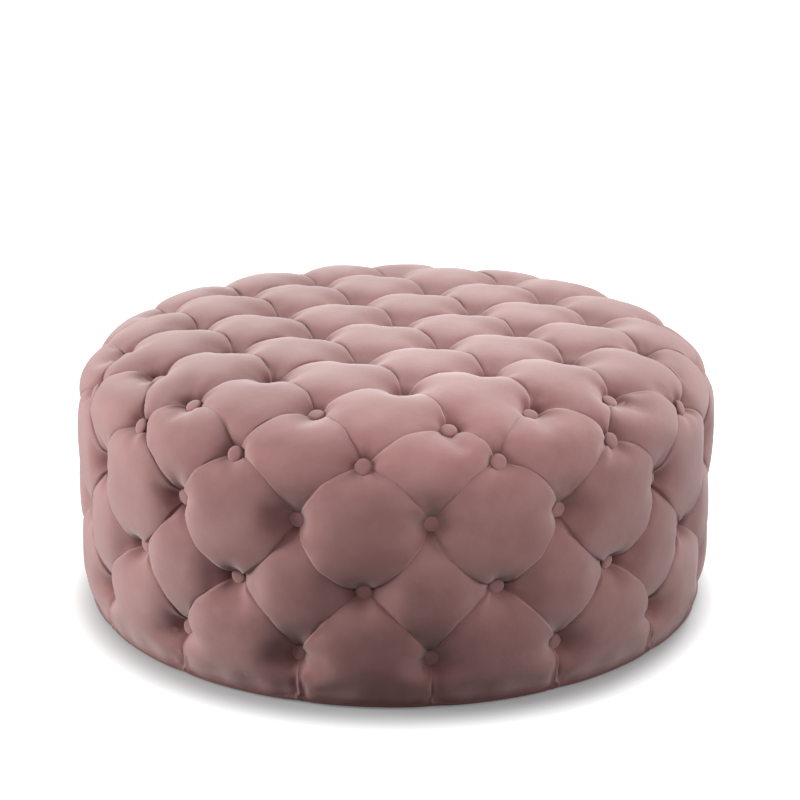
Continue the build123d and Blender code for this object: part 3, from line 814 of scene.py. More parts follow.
class Filling:
    """How the padding's pressure moves the cover between its buttons: a short cloth run."""

    frames = 14
    pin_strength = 1.4
    hem_band = 0.035
    most = 0.006
    smoothing = 0.35
    fabric = {
        "quality": 5,
        "mass": 0.3,
        "tension_stiffness": 15.0,
        "compression_stiffness": 15.0,
        "shear_stiffness": 5.0,
        "bending_stiffness": 0.1,
        "use_pressure": True,
        "uniform_pressure_force": 4.0,
        "shrink_min": -0.03,
    }

    def __init__(self, net, pull):
        self.steps = net.size.steps // 2
        self.skin = Skin(net, pull, self.steps, 0.0)
        # The cloth run is pinned where the painted shade lies, and along a band at the hem
        low = 1 - (self.skin.points[:, 2] - net.hem_top) / self.hem_band
        self.skin.near = np.clip(np.maximum(self.pin_strength * self.skin.near, low), 0, 1)
        numbers = self.skin.merge()
        moves = self.run() - self.skin.points
        furthest = np.maximum(np.linalg.norm(moves, axis=1, keepdims=True), self.most)
        self.moves = self.smoothed(moves * self.most / furthest)[numbers]

    def run(self):
        """Where the cover's points settle, with the buttons, the folds and the hem held."""
        trial = mesh_piece("cover_trial", self.skin.points, self.skin.faces.tolist())
        pins = trial.vertex_groups.new(name="pins")
        for vertex, weight in enumerate(self.skin.near.tolist()):
            pins.add([vertex], weight, "REPLACE")
        cloth = trial.modifiers.new("Cloth", "CLOTH")
        for name, value in self.fabric.items():
            setattr(cloth.settings, name, value)
        cloth.settings.vertex_group_mass = pins.name
        cloth.settings.effector_weights.gravity = 0.0
        cloth.collision_settings.use_collision = False
        scene = bpy.context.scene
        graph = bpy.context.evaluated_depsgraph_get()
        for number in range(1, self.frames + 1):
            scene.frame_set(number)
        settled = trial.evaluated_get(graph).data
        points = np.empty(self.skin.points.size, dtype=np.float32)
        settled.vertices.foreach_get("co", points)
        scene.frame_set(1)
        discard(trial)
        return points.reshape(-1, 3)

    def smoothed(self, moves):
        """Moves blended with those of the neighbouring points."""
        total = np.zeros_like(moves)
        count = np.zeros((len(moves), 1))
        faces = self.skin.faces
        for corner in range(4):
            for neighbour in (corner - 1, (corner + 1) % 4):
                np.add.at(total, faces[:, corner], moves[faces[:, neighbour]])
                np.add.at(count, faces[:, corner], 1)
        return (1 - self.smoothing) * moves + self.smoothing * total / count

    def at(self, steps):
        """The moves at the grid points of a layer with as many steps, or twice as many."""
        parts = []
        first = 0
        for cell in self.skin.net.cells:
            for grid in patch_weights(len(cell), self.steps):
                rows = len(grid)
                part = self.moves[first : first + rows * rows].reshape(rows, rows, 3)
                first += rows * rows
                if steps > self.steps:
                    part = doubled(doubled(part).swapaxes(0, 1)).swapaxes(0, 1)
                parts.append(part.reshape(-1, 3))
        return np.concatenate(parts)


def weld(piece):
    """Merge the doubles of a piece and point its faces outwards."""
    shape = bmesh.new()
    shape.from_mesh(piece.data)
    bmesh.ops.remove_doubles(shape, verts=shape.verts, dist=WELD_DISTANCE)
    bmesh.ops.dissolve_degenerate(shape, edges=shape.edges, dist=WELD_DISTANCE)
    bmesh.ops.recalc_face_normals(shape, faces=shape.faces)
    shape.to_mesh(piece.data)
    shape.free()


def dress(piece, material):
    """Give a piece one material."""
    piece.data.materials.clear()
    piece.data.materials.append(material)


def settle(piece, slot, *nodes):
    """Put a finished piece on the body, in place of some nodes."""
    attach(piece, BODY)
    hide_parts(*nodes)


# Building blocks of node trees
def connect(tree, node, inputs):
    """Set a node's inputs; a socket given as an input is linked."""
    for name, value in inputs.items():
        socket = node.inputs[name]
        if isinstance(value, bpy.types.NodeSocket):
            tree.links.new(value, socket)
        else:
            socket.default_value = value


def place(tree, kind, inputs=None, **settings):
    """Add a node, with some of its settings and inputs."""
    node = tree.nodes.new(kind)
    for name, value in settings.items():
        setattr(node, name, value)
    connect(tree, node, inputs or {})
    return node


def reckoned(tree, operation, first, second):
    """The result of one operation on two values."""
    return place(tree, "ShaderNodeMath", {0: first, 1: second}, operation=operation).outputs[0]


def remapped(tree, value, given, wanted, curve="LINEAR"):
    """A value carried over from one range to another."""
    ranges = {"From Min": given[0], "From Max": given[1], "To Min": wanted[0], "To Max": wanted[1]}
    node = place(tree, "ShaderNodeMapRange", {"Value": value, **ranges}, interpolation_type=curve)
    return node.outputs["Result"]


def blended(tree, factor, first, second):
    """One colour mixed with another."""
    inputs = {"Factor": factor, 6: first, 7: second}
    return place(tree, "ShaderNodeMix", inputs, data_type="RGBA").outputs[2]


def noisy(tree, vector, scale, detail, roughness):
    """Soft noise."""
    inputs = {"Vector": vector, "Scale": scale, "Detail": detail, "Roughness": roughness}
    return place(tree, "ShaderNodeTexNoise", inputs).outputs["Fac"]


def bumped(tree, height, strength, distance, normal=None):
    """The normal of a surface with some relief, over another normal if there is one."""
    inputs = {"Height": height, "Strength": strength, "Distance": distance}
    if normal is not None:
        inputs["Normal"] = normal
    return place(tree, "ShaderNodeBump", inputs).outputs["Normal"]


def opaque(colour):
    """A colour with full alpha."""
    return (*colour, 1.0)


def new_group(name, inputs, outputs):
    """An empty shader group, with the kinds of its named inputs and outputs."""
    group = bpy.data.node_groups.new(name, "ShaderNodeTree")
    for direction, sockets in (("INPUT", inputs), ("OUTPUT", outputs)):
        for label, kind in sockets.items():
            group.interface.new_socket(label, in_out=direction, socket_type=f"NodeSocket{kind}")
    start = group.nodes.new("NodeGroupInput")
    end = group.nodes.new("NodeGroupOutput")
    return group, start.outputs, end


def mottle_group():
    """Two colours blended by soft noise."""
    inputs = {"Vector": "Vector", "Scale": "Float", "Dark": "Color", "Light": "Color"}
    group, given, end = new_group("Mottle", inputs, {"Color": "Color", "Mask": "Float"})
    noise = noisy(group, given["Vector"], given["Scale"], detail=4.0, roughness=0.55)
    mask = remapped(group, noise, (0.32, 0.68), (0.0, 1.0), "SMOOTHSTEP")
    colour = blended(group, mask, given["Dark"], given["Light"])
    connect(group, end, {"Color": colour, "Mask": mask})
    return group


def fibre_group():
    """The height of fine fibres or grain."""
    group, given, end = new_group("Fibre", {"Vector": "Vector", "Scale": "Float"}, {"Height": "Float"})
    height = noisy(group, given["Vector"], given["Scale"], detail=3.0, roughness=0.7)
    connect(group, end, {"Height": height})
    return group


def grain_group():
    """Timber grain along one axis: rings stretched into streaks."""
    inputs = {"Vector": "Vector", "Early": "Color", "Late": "Color"}
    group, given, end = new_group("Timber grain", inputs, {"Color": "Color", "Height": "Float"})
    wave = {"Vector": given["Vector"], "Scale": 22.0, "Distortion": 5.0, "Detail": 3.0, "Detail Scale": 1.2}
    rings = place(group, "ShaderNodeTexWave", wave, wave_type="RINGS", rings_direction="Z")
    pores = noisy(group, given["Vector"], 260.0, detail=3.0, roughness=0.5)
    streaks = reckoned(group, "MULTIPLY", rings.outputs["Fac"], pores)
    colour = blended(group, streaks, given["Early"], given["Late"])
    connect(group, end, {"Color": colour, "Height": streaks})
    return group


class Finishes:
    """Materials of the ottoman, made once and shared."""

    def __init__(self, velvet):
        self.mottle = mottle_group()
        self.fibre = fibre_group()
        self.grain = grain_group()
        self.velvet = self.make_velvet(velvet)
        self.wadding = self.make_cloth("Polyester wadding", (0.74, 0.73, 0.7), (0.86, 0.85, 0.83), 60, 700)
        self.foam = self.make_cloth("Upholstery foam", (0.72, 0.66, 0.46), (0.8, 0.75, 0.56), 30, 1400)
        self.dust_cloth = self.make_cloth("Dust cloth", (0.02, 0.02, 0.021), (0.035, 0.034, 0.034), 90, 1100)
        self.twine = self.make_cloth("Waxed twine", (0.55, 0.46, 0.33), (0.68, 0.59, 0.44), 300, 2600)
        self.fibre_board = self.make_cloth("Washer fibre", (0.2, 0.12, 0.07), (0.27, 0.17, 0.1), 200, 1500)
        self.plywood = self.make_timber("Birch plywood", (0.62, 0.46, 0.28), (0.47, 0.32, 0.18), (1, 1, 8))
        self.softwood = self.make_timber("Planed pine", (0.66, 0.47, 0.26), (0.46, 0.27, 0.12), (6, 6, 0.8))
        self.nylon = self.make_hard("Moulded nylon", (0.03, 0.03, 0.032), (0.045, 0.045, 0.047), 0.45, 0.0)
        self.steel = self.make_hard("Zinc steel", (0.55, 0.56, 0.58), (0.68, 0.68, 0.69), 0.32, 1.0)

    def start(self, name):
        """A new material, its tree and its object coordinates."""
        material = bpy.data.materials.new(name)
        material.use_nodes = True
        tree = material.node_tree
        return material, tree, place(tree, "ShaderNodeTexCoord").outputs["Object"]

    def surface(self, tree, inputs):
        """Set the inputs of a material's surface shader."""
        connect(tree, tree.nodes["Principled BSDF"], inputs)

    def mottled(self, tree, vector, scale, dark, light):
        """The colour and the mask of a mottled finish."""
        inputs = {"Vector": vector, "Scale": scale, "Dark": opaque(dark), "Light": opaque(light)}
        return place(tree, "ShaderNodeGroup", inputs, node_tree=self.mottle).outputs

    def fibres(self, tree, vector, scale, strength, distance, normal=None):
        """The normal of a fibrous surface."""
        fine = place(tree, "ShaderNodeGroup", {"Vector": vector, "Scale": scale}, node_tree=self.fibre)
        return bumped(tree, fine.outputs["Height"], strength, distance, normal)

    def make_velvet(self, colours):
        """Short cut pile, brushed in soft patches, with painted shade in the folds and a painted sheen at
        grazing angles.
        """
        material, tree, vector = self.start("Rose velvet")
        brushed = self.mottled(tree, vector, 16.0, colours.pile, colours.brushed)["Color"]
        # Painted shade: darker towards the fold colour where the 'crease' attribute is high
        crease = place(tree, "ShaderNodeAttribute", attribute_name="crease").outputs["Fac"]
        deep = blended(tree, crease, brushed, opaque(colours.fold))
        # Painted sheen: lighter towards grazing angles, held back where painted shade lies
        slant = place(tree, "ShaderNodeLayerWeight", {"Blend": 0.5}).outputs["Facing"]
        along = remapped(tree, slant, (0.15, 0.95), (0.0, 0.65))
        shown = reckoned(tree, "MULTIPLY", along, reckoned(tree, "SUBTRACT", 1.0, crease))
        pile = self.fibres(tree, vector, 1500.0, strength=0.25, distance=0.0006)
        inputs = {
            "Base Color": blended(tree, shown, deep, opaque(colours.painted_sheen)),
            "Normal": self.fibres(tree, vector, 70.0, strength=0.35, distance=0.0012, normal=pile),
            "Roughness": 0.9,
            "Specular IOR Level": 0.15,
            "Sheen Weight": 0.42,
            "Sheen Roughness": 0.5,
            "Sheen Tint": opaque(colours.sheen),
        }
        self.surface(tree, inputs)
        return material

    def make_cloth(self, name, dark, light, scale, fibre_scale):
        """A matt fibrous or porous finish."""
        material, tree, vector = self.start(name)
        colour = self.mottled(tree, vector, scale, dark, light)["Color"]
        normal = self.fibres(tree, vector, fibre_scale, strength=0.5, distance=0.0008)
        self.surface(tree, {"Base Color": colour, "Normal": normal, "Roughness": 0.92})
        return material

    def make_timber(self, name, early, late, stretch):
        """Bare timber with its grain."""
        material, tree, vector = self.start(name)
        turned = place(tree, "ShaderNodeMapping", {"Vector": vector, "Scale": stretch}).outputs["Vector"]
        inputs = {"Vector": turned, "Early": opaque(early), "Late": opaque(late)}
        grain = place(tree, "ShaderNodeGroup", inputs, node_tree=self.grain).outputs
        normal = bumped(tree, grain["Height"], strength=0.2, distance=0.0004)
        self.surface(tree, {"Base Color": grain["Color"], "Normal": normal, "Roughness": 0.68})
        return material

    def make_hard(self, name, dark, light, roughness, metallic):
        """A smooth hard finish with faint scuffs."""
        material, tree, vector = self.start(name)
        scuffs = self.mottled(tree, vector, 140.0, dark, light)
        inputs = {
            "Base Color": scuffs["Color"],
            "Roughness": remapped(tree, scuffs["Mask"], (0.0, 1.0), (roughness, roughness + 0.18)),
            "Normal": self.fibres(tree, vector, 900.0, strength=0.08, distance=0.0003),
            "Metallic": metallic,
        }
        self.surface(tree, inputs)
        return material


workshop = {}


def finishes():
    """The shared materials, made at first use."""
    if "finishes" not in workshop:
        workshop["finishes"] = Finishes(bpy.context.scene.ottoman_velvet)
    return workshop["finishes"]


def tuft_net():
    """The shared tuft net and its pull, worked out at first use."""
    if "net" not in workshop:
        net = TuftNet(bpy.context.scene.ottoman_tufting)
        workshop["net"] = net, Pull(net)
    return workshop["net"]


def cover_layer(steps, inset):
    """One layer of the cover or of what fills it, moved as the shared cloth run moves it."""
    net, pull = tuft_net()
    if "filling" not in workshop:
        workshop["filling"] = Filling(net, pull)
    return Skin(net, pull, steps, inset, workshop["filling"])


class OTTOMAN_OT_velvet_cover(bpy.types.Operator):
    """Make the tufted velvet cover"""

    bl_idname = "ottoman.velvet_cover"
    bl_label = "Velvet Cover"

    def execute(self, context):
        steps = context.scene.ottoman_tufting.steps
        outer = cover_layer(steps, 0.0)
        outer_edges = outer.turn_under(FLANGE_RINGS)
        outer_numbers = outer.merge()
        lining = cover_layer(steps // 2, COVER_THICKNESS)
        lining_edges = lining.turn_under(LINING_RINGS)
        lining_numbers = lining.merge() + len(outer.points)
        faces = outer.faces.tolist() + (lining.faces[:, ::-1] + len(outer.points)).tolist()
        for fine, coarse in zip(outer_edges, lining_edges):
            faces += raw_edge(outer_numbers[fine], lining_numbers[coarse])
        piece = mesh_piece("tufted_velvet_cover", np.concatenate((outer.points, lining.points)), faces)
        # Each vertex's painted shade, kept as the 'crease' attribute that darkens the velvet
        crease = piece.data.attributes.new("crease", "FLOAT", "POINT")
        near = np.concatenate((outer.near, lining.near))
        crease.data.foreach_set("value", near.astype(np.float32))
        dress(piece, finishes().velvet)
        settle(piece, "velvet", "velvet_cover")
        return {"FINISHED"}


def raw_edge(fine, coarse):
    """Triangles that close the cloth's cut edge between a fine and a coarse row."""
    faces = []
    for n in range(len(coarse) - 1):
        first, middle, last = fine[2 * n : 2 * n + 3]
        faces.append([first, coarse[n], middle])
        faces.append([middle, coarse[n], coarse[n + 1]])
        faces.append([middle, coarse[n + 1], last])
    return np.array(faces).tolist()


class OTTOMAN_OT_wadding(bpy.types.Operator):
    """Make the fibre wadding that fills the pillows"""

    bl_idname = "ottoman.wadding"
    bl_label = "Wadding"

    def execute(self, context):
        skin = cover_layer(context.scene.ottoman_tufting.steps // 2, WADDING_INSET)
        depth = cross_out(lambda at: -over_foam(at), skin.points, -skin.directions, WADDING_REACH)
        inner = skin.points - skin.directions * (depth * WADDING_SHARE)[:, None]
        numbers = skin.merge()
        count = len(skin.points)
        faces = skin.faces.tolist() + (skin.faces[:, ::-1] + count).tolist()
        for hem in skin.hems:
            row = numbers[hem]
            band = np.stack((row[:-1], row[:-1] + count, row[1:] + count, row[1:]), axis=1)
            faces += band.tolist()
        points = np.concatenate((skin.points, averaged(numbers, inner)))
        piece = mesh_piece("wadding_layer", points, faces)
        dress(piece, finishes().wadding)
        settle(piece, "wadding", "fibre_wadding")
        return {"FINISHED"}


def foam_radius():
    """Outer radius of the foam, under the side buttons."""
    tufting = bpy.context.scene.ottoman_tufting
    return tufting.outer_radius - SIDE_TUFT_DEPTH - COVER_THICKNESS - WADDING_AT_BUTTON


def foam_top():
    """Height of the foam, under the rim buttons."""
    height = bpy.context.scene.ottoman_tufting.height
    return height - RIM_TUFT_DROP - COVER_THICKNESS - WADDING_AT_BUTTON


def over_foam(points):
    """Above zero outside the foam's round-rimmed drum."""
    flat = np.linalg.norm(points[:, :2], axis=1)
    radial = np.maximum(flat - (foam_radius() - FOAM_RIM_RADIUS), 0)
    rise = np.maximum(points[:, 2] - (foam_top() - FOAM_RIM_RADIUS), 0)
    return np.hypot(radial, rise) - FOAM_RIM_RADIUS


def swept(profile, start, end, steps):
    """A profile of (radius, height) pairs swept round the axis between two angles, in rings."""
    rings = [
        [polar(radius, angle, z) for radius, z in profile]
        for angle in np.linspace(start, end, steps + 1)
    ]
    return np.array(rings).reshape(-1, 3)


def ring_faces(ring_count, size, closed):
    """Quads between rings of vertices, whose profile may be a closed loop."""
    numbers = np.arange(ring_count * size).reshape(ring_count, size)
    if closed:
        numbers = np.hstack((numbers, numbers[:, :1]))
    return grid_faces(numbers).tolist()


def rounded_block(low, high, bottom, top, soft):
    """A closed profile with soft corners, anticlockwise."""
    corners = (
        (high - soft, bottom + soft, -90),
        (high - soft, top - soft, 0),
        (low + soft, top - soft, 90),
        (low + soft, bottom + soft, 180),
    )
    profile = []
    for radius, z, first in corners:
        for n in range(EDGE_STEPS + 1):
            turn = radians(first + 90 * n / EDGE_STEPS)
            profile.append((radius + soft * cos(turn), z + soft * sin(turn)))
    return profile


class OTTOMAN_OT_foam(bpy.types.Operator):
    """Make the foam wraps and the top slab"""

    bl_idname = "ottoman.foam"
    bl_label = "Foam"

    def execute(self, context):
        inner = foam_radius() - SIDE_FOAM
        bottom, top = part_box("side_foam_front")[0].z, deck_box[1].z
        profile = rounded_block(inner, foam_radius(), bottom, top, FOAM_EDGE)
        for name, node, start in (
            ("foam_wrap_front", "side_foam_front", FOAM_JOINT_ANGLE + 180),
            ("foam_wrap_rear", "side_foam_rear", FOAM_JOINT_ANGLE),
        ):
            points = swept(profile, start + FOAM_JOINT_GAP, start + FOAM_WRAP_END, FOAM_STEPS)
            faces = ring_faces(FOAM_STEPS + 1, len(profile), True)
            faces.append(list(range(len(profile))))
            faces.append(list(range(len(points) - 1, len(points) - len(profile) - 1, -1)))
            self.finish(mesh_piece(name, points, faces), node)
        shoulder = foam_radius() - FOAM_RIM_RADIUS
        slab = [(0.0, top), (shoulder, top), (foam_radius(), top)]
        for n in range(RIM_STEPS + 1):
            turn = radians(90 * n / RIM_STEPS)
            level = foam_top() - FOAM_RIM_RADIUS + FOAM_RIM_RADIUS * sin(turn)
            slab.append((shoulder + FOAM_RIM_RADIUS * cos(turn), level))
        slab.append((0.0, foam_top()))
        points = swept(slab, 0, 360, FOAM_STEPS)
        faces = ring_faces(FOAM_STEPS + 1, len(slab), False)
        self.finish(mesh_piece("foam_slab", points, faces), "top_foam")
        return {"FINISHED"}

    def finish(self, piece, node):
        """Close a foam piece and put it in place."""
        weld(piece)
        dress(piece, finishes().foam)
        settle(piece, "foam", node)


class OTTOMAN_OT_buttons(bpy.types.Operator):
    """Make the covered buttons, row by row"""

    bl_idname = "ottoman.buttons"
    bl_label = "Buttons"

    def execute(self, context):
        net, _ = tuft_net()
        size = context.scene.ottoman_buttons
        tree, sockets = button_tree()
        for seed, row in enumerate(BUTTON_ROWS):
            numbers = net.rows[row]
            normals = net.normals[numbers]
            centres = net.seats[numbers] + normals * size.lift
            name = f"covered_buttons_{row}"
            places = mesh_piece(f"{name}_places", centres, [])
            facing = places.data.attributes.new("facing", "FLOAT_VECTOR", "POINT")
            facing.data.foreach_set("vector", normals.astype(np.float32).ravel())
            grown = places.modifiers.new("Buttons", "NODES")
            grown.node_group = tree
            values = {
                "Radius": size.radius,
                "Half Height": size.half_height,
                "Tilt": size.tilt,
                "Seed": seed,
                "Material": finishes().velvet,
            }
            for label, value in values.items():
                grown[sockets[label]] = value
            mesh = applied(places)
            mesh.name = name
            discard(places)
            piece = linked(name, mesh)
            settle(piece, "velvet", f"buttons_{row}")
        return {"FINISHED"}


def reshaped(tree, kind, geometry, inputs=None, **settings):
    """The geometry that a node makes of another."""
    node = place(tree, kind, {"Geometry": geometry, **(inputs or {})}, **settings)
    return node.outputs["Geometry"]


def button_tree():
    """Geometry nodes that set a domed button on every vertex, facing along its attribute."""
    tree = bpy.data.node_groups.new("Covered buttons", "GeometryNodeTree")
    tree.is_modifier = True
    sockets = {}
    for label, kind in (
        ("Geometry", "Geometry"),
        ("Radius", "Float"),
        ("Half Height", "Float"),
        ("Tilt", "Float"),
        ("Seed", "Int"),
        ("Material", "Material"),
    ):
        socket = tree.interface.new_socket(label, in_out="INPUT", socket_type=f"NodeSocket{kind}")
        sockets[label] = socket.identifier
    tree.interface.new_socket("Geometry", in_out="OUTPUT", socket_type="NodeSocketGeometry")
    given = place(tree, "NodeGroupInput").outputs
    mesh_size = {"Segments": BUTTON_SEGMENTS, "Rings": BUTTON_RINGS, "Radius": 1.0}
    ball = place(tree, "GeometryNodeMeshUVSphere", mesh_size)
    at = place(tree, "GeometryNodeInputPosition").outputs["Position"]
    parts = place(tree, "ShaderNodeSeparateXYZ", {"Vector": at}).outputs
    level = place(tree, "ShaderNodeCombineXYZ", {"X": parts["X"], "Y": parts["Y"]}).outputs["Vector"]
    flat = place(tree, "ShaderNodeVectorMath", {0: level}, operation="LENGTH").outputs["Value"]
    bulge = reckoned(tree, "POWER", reckoned(tree, "MAXIMUM", flat, DOME_MIDDLE), DOME_POWER)
    spread = reckoned(tree, "MULTIPLY", bulge, given["Radius"])
    wide = place(tree, "ShaderNodeVectorMath", {0: level, "Scale": spread}, operation="SCALE").outputs[0]
    rise = reckoned(tree, "MULTIPLY", parts["Z"], given["Half Height"])
    tall = place(tree, "ShaderNodeCombineXYZ", {"Z": rise}).outputs["Vector"]
    domed = place(tree, "ShaderNodeVectorMath", {0: wide, 1: tall}, operation="ADD").outputs[0]
    shade = {"Name": "crease", "Value": remapped(tree, flat, RIM_SHADE_REACH, RIM_SHADE)}
    button = reshaped(
        tree, "GeometryNodeStoreNamedAttribute", ball.outputs["Mesh"], shade, data_type="FLOAT"
    )
    button = reshaped(tree, "GeometryNodeSetPosition", button, {"Position": domed})
    button = reshaped(tree, "GeometryNodeSetShadeSmooth", button)
    facing = place(tree, "GeometryNodeInputNamedAttribute", {"Name": "facing"}, data_type="FLOAT_VECTOR")
    way = {"Vector": facing.outputs["Attribute"]}
    turned = place(tree, "FunctionNodeAlignRotationToVector", way, axis="Z").outputs["Rotation"]
    least = reckoned(tree, "MULTIPLY", given["Tilt"], -1.0)
    limits = {"Min": least, "Max": given["Tilt"], "Seed": given["Seed"]}
    lean = place(tree, "FunctionNodeRandomValue", limits, data_type="FLOAT_VECTOR").outputs["Value"]
    leaning = place(tree, "FunctionNodeEulerToRotation", {"Euler": lean}).outputs["Rotation"]
    turns = {"Rotation": turned, "Rotate By": leaning}
    both = place(tree, "FunctionNodeRotateRotation", turns, rotation_space="LOCAL").outputs["Rotation"]
    copies = {"Points": given["Geometry"], "Instance": button, "Rotation": both}
    row = place(tree, "GeometryNodeInstanceOnPoints", copies).outputs["Instances"]
    row = reshaped(tree, "GeometryNodeRealizeInstances", row)
    row = reshaped(tree, "GeometryNodeSetMaterial", row, {"Material": given["Material"]})
    place(tree, "NodeGroupOutput", {"Geometry": row})
    return tree, sockets


class OTTOMAN_OT_dust_cover(bpy.types.Operator):
    """Make the dust cover stapled under the base"""

    bl_idname = "ottoman.dust_cover"
    bl_label = "Dust Cover"

    rings = 40
    around = 160
    sag = 0.0018
    ripple = 0.0005
    edge_waves = 40
    edge_power = 6
    wide_waves = 13
    wide_share = 0.6
    hold_power = 8

    def execute(self, context):
        low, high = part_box("dust_cover")
        radius = high.x
        middle = (low.z + high.z) / 2
        rings, around = self.rings, self.around
        points = [np.array((0.0, 0.0, middle - self.sag))]
        for ring in range(1, rings + 1):
            share = ring / rings
            for n in range(around):
                angle = 360 * n / around
                wave = sin(radians(angle * self.edge_waves)) * share**self.edge_power
                wave += self.wide_share * sin(radians(angle * self.wide_waves)) * share**2
                dip = self.sag * (1 - share**2) - self.ripple * wave * (1 - share**self.hold_power)
                points.append(polar(radius * share, angle, middle - dip))
        faces = [[0, 1 + (n + 1) % around, 1 + n] for n in range(around)]
        for ring in range(rings - 1):
            here, there = 1 + ring * around, 1 + (ring + 1) * around
            for n in range(around):
                following = (n + 1) % around
                faces.append([here + n, here + following, there + following, there + n])
        piece = mesh_piece("dust_cloth", np.array(points), faces)
        weld(piece)
        thick = piece.modifiers.new("Thickness", "SOLIDIFY")
        thick.thickness = high.z - low.z
        thick.offset = 0.0
        mesh = applied(piece)
        piece.modifiers.clear()
        piece.data = mesh
        dress(piece, finishes().dust_cloth)
        settle(piece, "dust_cloth", "dust_cover")
        return {"FINISHED"}


class OTTOMAN_OT_frame_finishes(bpy.types.Operator):
    """Give the timber, twines and fixings their finishes"""

    bl_idname = "ottoman.frame_finishes"
    bl_label = "Frame Finishes"

    def execute(self, context):
        kinds = (
            (finishes().plywood, ("base_hoop", "top_deck", "side_panel")),
            (finishes().softwood, ("cross_rail", "post", "strut_1", "strut_2", "strut_3", "strut_4")),
            (finishes().twine, ("side_twines", "rim_twines", "top_twines")),
            (finishes().fibre_board, ("side_washers", "rim_washers", "top_washers")),
            (finishes().nylon, tuple(f"glide_{n}" for n in range(1, 9))),
            (
                finishes().steel,
                (
                    "deck_screws",
                    "base_screws",
                    "strut_screws",
                    "rail_screws",
                    "glide_screws",
                    "panel_nails",
                    "cover_staples",
                    "dust_cover_staples",
                ),
            ),
        )
        for material, starts in kinds:
            for name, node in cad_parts.items():
                if name.startswith(starts):
                    dress(node, material)
        return {"FINISHED"}


class OTTOMAN_OT_stage(bpy.types.Operator):
    """Set the floor, the light and the camera"""

    bl_idname = "ottoman.stage"
    bl_label = "Stage"

    def execute(self, context):
        settings = context.scene.ottoman_stage
        context.scene.view_settings.view_transform = "Standard"
        self.lay_floor(settings)
        self.light_room(context)
        self.set_camera(context, settings)
        return {"FINISHED"}

    def lay_floor(self, settings):
        """A wide pale floor that the camera sees as white from above, with the shadow kept and a painted
        shadow ring round the foot.
        """
        shape = bmesh.new()
        bmesh.ops.create_circle(shape, cap_ends=True, segments=FLOOR_SEGMENTS, radius=FLOOR_RADIUS)
        mesh = bpy.data.meshes.new("floor")
        shape.to_mesh(mesh)
        shape.free()
        floor = linked("floor", mesh)
        material = bpy.data.materials.new("Studio floor")
        material.use_nodes = True
        tree = material.node_tree
        tree.nodes.clear()
        seen = seen_ray(tree)
        shade = blended(tree, seen, opaque(settings.bounce), opaque(settings.floor))
        paint = place(tree, "ShaderNodeBsdfDiffuse", {"Color": shade}).outputs[0]
        # Painted shadow: the glow weakens near the ottoman's foot, which lets the real shadow show and also
        # darkens a ring round it, wider at the front
        at = place(tree, "ShaderNodeTexCoord").outputs["Object"]
        away = place(tree, "ShaderNodeVectorMath", {0: at, 1: GLOW_CENTRE}, operation="DISTANCE")
        fade = remapped(tree, away.outputs["Value"], GLOW_REACH, GLOW_STRENGTH, "SMOOTHSTEP")
        glow = reckoned(tree, "MULTIPLY", seen, fade)
        light = place(tree, "ShaderNodeEmission", {"Strength": glow}).outputs[0]
        both = place(tree, "ShaderNodeAddShader", {0: paint, 1: light}).outputs[0]
        below = place(tree, "ShaderNodeNewGeometry").outputs["Backfacing"]
        clear = place(tree, "ShaderNodeBsdfTransparent").outputs[0]
        one_sided = place(tree, "ShaderNodeMixShader", {0: below, 1: both, 2: clear}).outputs[0]
        place(tree, "ShaderNodeOutputMaterial", {"Surface": one_sided})
        mesh.materials.append(material)

    def light_room(self, context):
        """A soft room that the camera sees as white, large lamps round it and a small one in front."""
        world = bpy.data.worlds.new("Studio")
        context.scene.world = world
        world.use_nodes = True
        tree = world.node_tree
        tree.nodes.clear()
        white = (1.0, 1.0, 1.0, 1.0)
        room, backdrop = (
            place(tree, "ShaderNodeBackground", {"Strength": strength, "Color": white}).outputs[0]
            for strength in (ROOM_STRENGTH, 1.0)
        )
        mixed = place(tree, "ShaderNodeMixShader", {0: seen_ray(tree), 1: room, 2: backdrop})
        place(tree, "ShaderNodeOutputWorld", {"Surface": mixed.outputs[0]})
        for name, spot, target, spread, width, power in LAMPS:
            lamp = bpy.data.lights.new(name, "AREA")
            lamp.shape = "DISK"
            lamp.size = width
            lamp.energy = power
            lamp.spread = radians(spread)
            holder = linked(name, lamp)
            holder.visible_camera = False
            look(holder, Vector(spot), Vector(target))

    def set_camera(self, context, settings):
        """A long lens at the photograph's angle."""
        camera = bpy.data.cameras.new("camera")
        camera.sensor_width = SENSOR_WIDTH
        camera.lens = LENS
        camera.shift_x, camera.shift_y = LENS_SHIFT
        camera.clip_end = VIEW_END
        target = Vector((0.0, 0.0, settings.target_height))
        flat = settings.distance * cos(settings.elevation)
        away = (
            flat * sin(settings.azimuth),
            -flat * cos(settings.azimuth),
            settings.distance * sin(settings.elevation),
        )
        holder = linked("camera", camera)
        look(holder, target + Vector(away), target)
        context.scene.camera = holder


def look(holder, spot, target):
    """Set a lamp or a camera at a spot, facing a target."""
    holder.location = spot
    holder.rotation_euler = (target - spot).to_track_quat("-Z", "Y").to_euler()


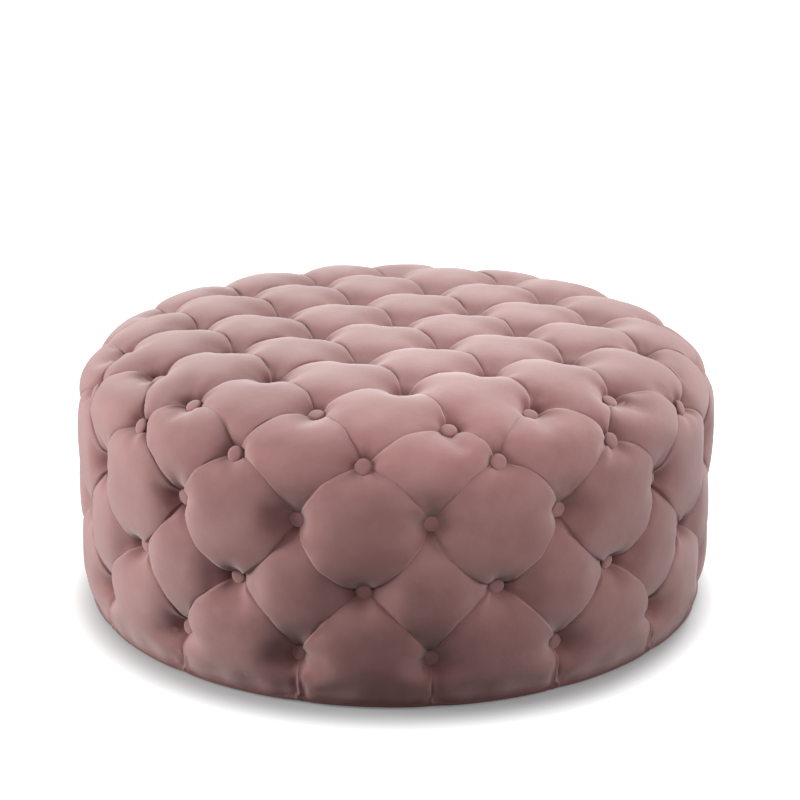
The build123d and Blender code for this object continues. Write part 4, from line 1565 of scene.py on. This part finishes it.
def seen_ray(tree):
    """One for rays that the camera sends, straight or by way of gloss and glass."""
    path = place(tree, "ShaderNodeLightPath").outputs
    first = reckoned(tree, "MAXIMUM", path["Is Camera Ray"], path["Is Glossy Ray"])
    return reckoned(tree, "MAXIMUM", first, path["Is Transmission Ray"])


class OTTOMAN_PT_pieces(bpy.types.Panel):
    """Lists the ottoman's pieces and settings"""

    bl_idname = "OTTOMAN_PT_pieces"
    bl_label = "Tufted Ottoman"
    bl_space_type = "VIEW_3D"
    bl_region_type = "UI"
    bl_category = "Ottoman"

    def draw(self, context):
        for group, owner in settings_groups:
            box = self.layout.box()
            for name in owner.__annotations__:
                box.prop(getattr(context.scene, group), name)
        for piece in pieces:
            self.layout.operator(piece.bl_idname)


settings_groups = (
    ("ottoman_tufting", TuftingSettings),
    ("ottoman_velvet", VelvetSettings),
    ("ottoman_buttons", ButtonSettings),
    ("ottoman_stage", StageSettings),
)
pieces = (
    OTTOMAN_OT_velvet_cover,
    OTTOMAN_OT_wadding,
    OTTOMAN_OT_foam,
    OTTOMAN_OT_buttons,
    OTTOMAN_OT_dust_cover,
    OTTOMAN_OT_frame_finishes,
    OTTOMAN_OT_stage,
)


def register():
    """Register the settings, the operators and the panel."""
    for group, owner in settings_groups:
        bpy.utils.register_class(owner)
        setattr(bpy.types.Scene, group, PointerProperty(type=owner))
    for piece in pieces:
        bpy.utils.register_class(piece)
    bpy.utils.register_class(OTTOMAN_PT_pieces)


def unregister():
    """Take the panel, the operators and the settings away again."""
    bpy.utils.unregister_class(OTTOMAN_PT_pieces)
    for piece in reversed(pieces):
        bpy.utils.unregister_class(piece)
    for group, owner in reversed(settings_groups):
        delattr(bpy.types.Scene, group)
        bpy.utils.unregister_class(owner)


def main():
    """Make every piece and the stage."""
    register()
    bpy.ops.ottoman.velvet_cover()
    bpy.ops.ottoman.wadding()
    bpy.ops.ottoman.foam()
    bpy.ops.ottoman.buttons()
    bpy.ops.ottoman.dust_cover()
    bpy.ops.ottoman.frame_finishes()
    bpy.ops.ottoman.stage()


if __name__ == "__main__":
    main()
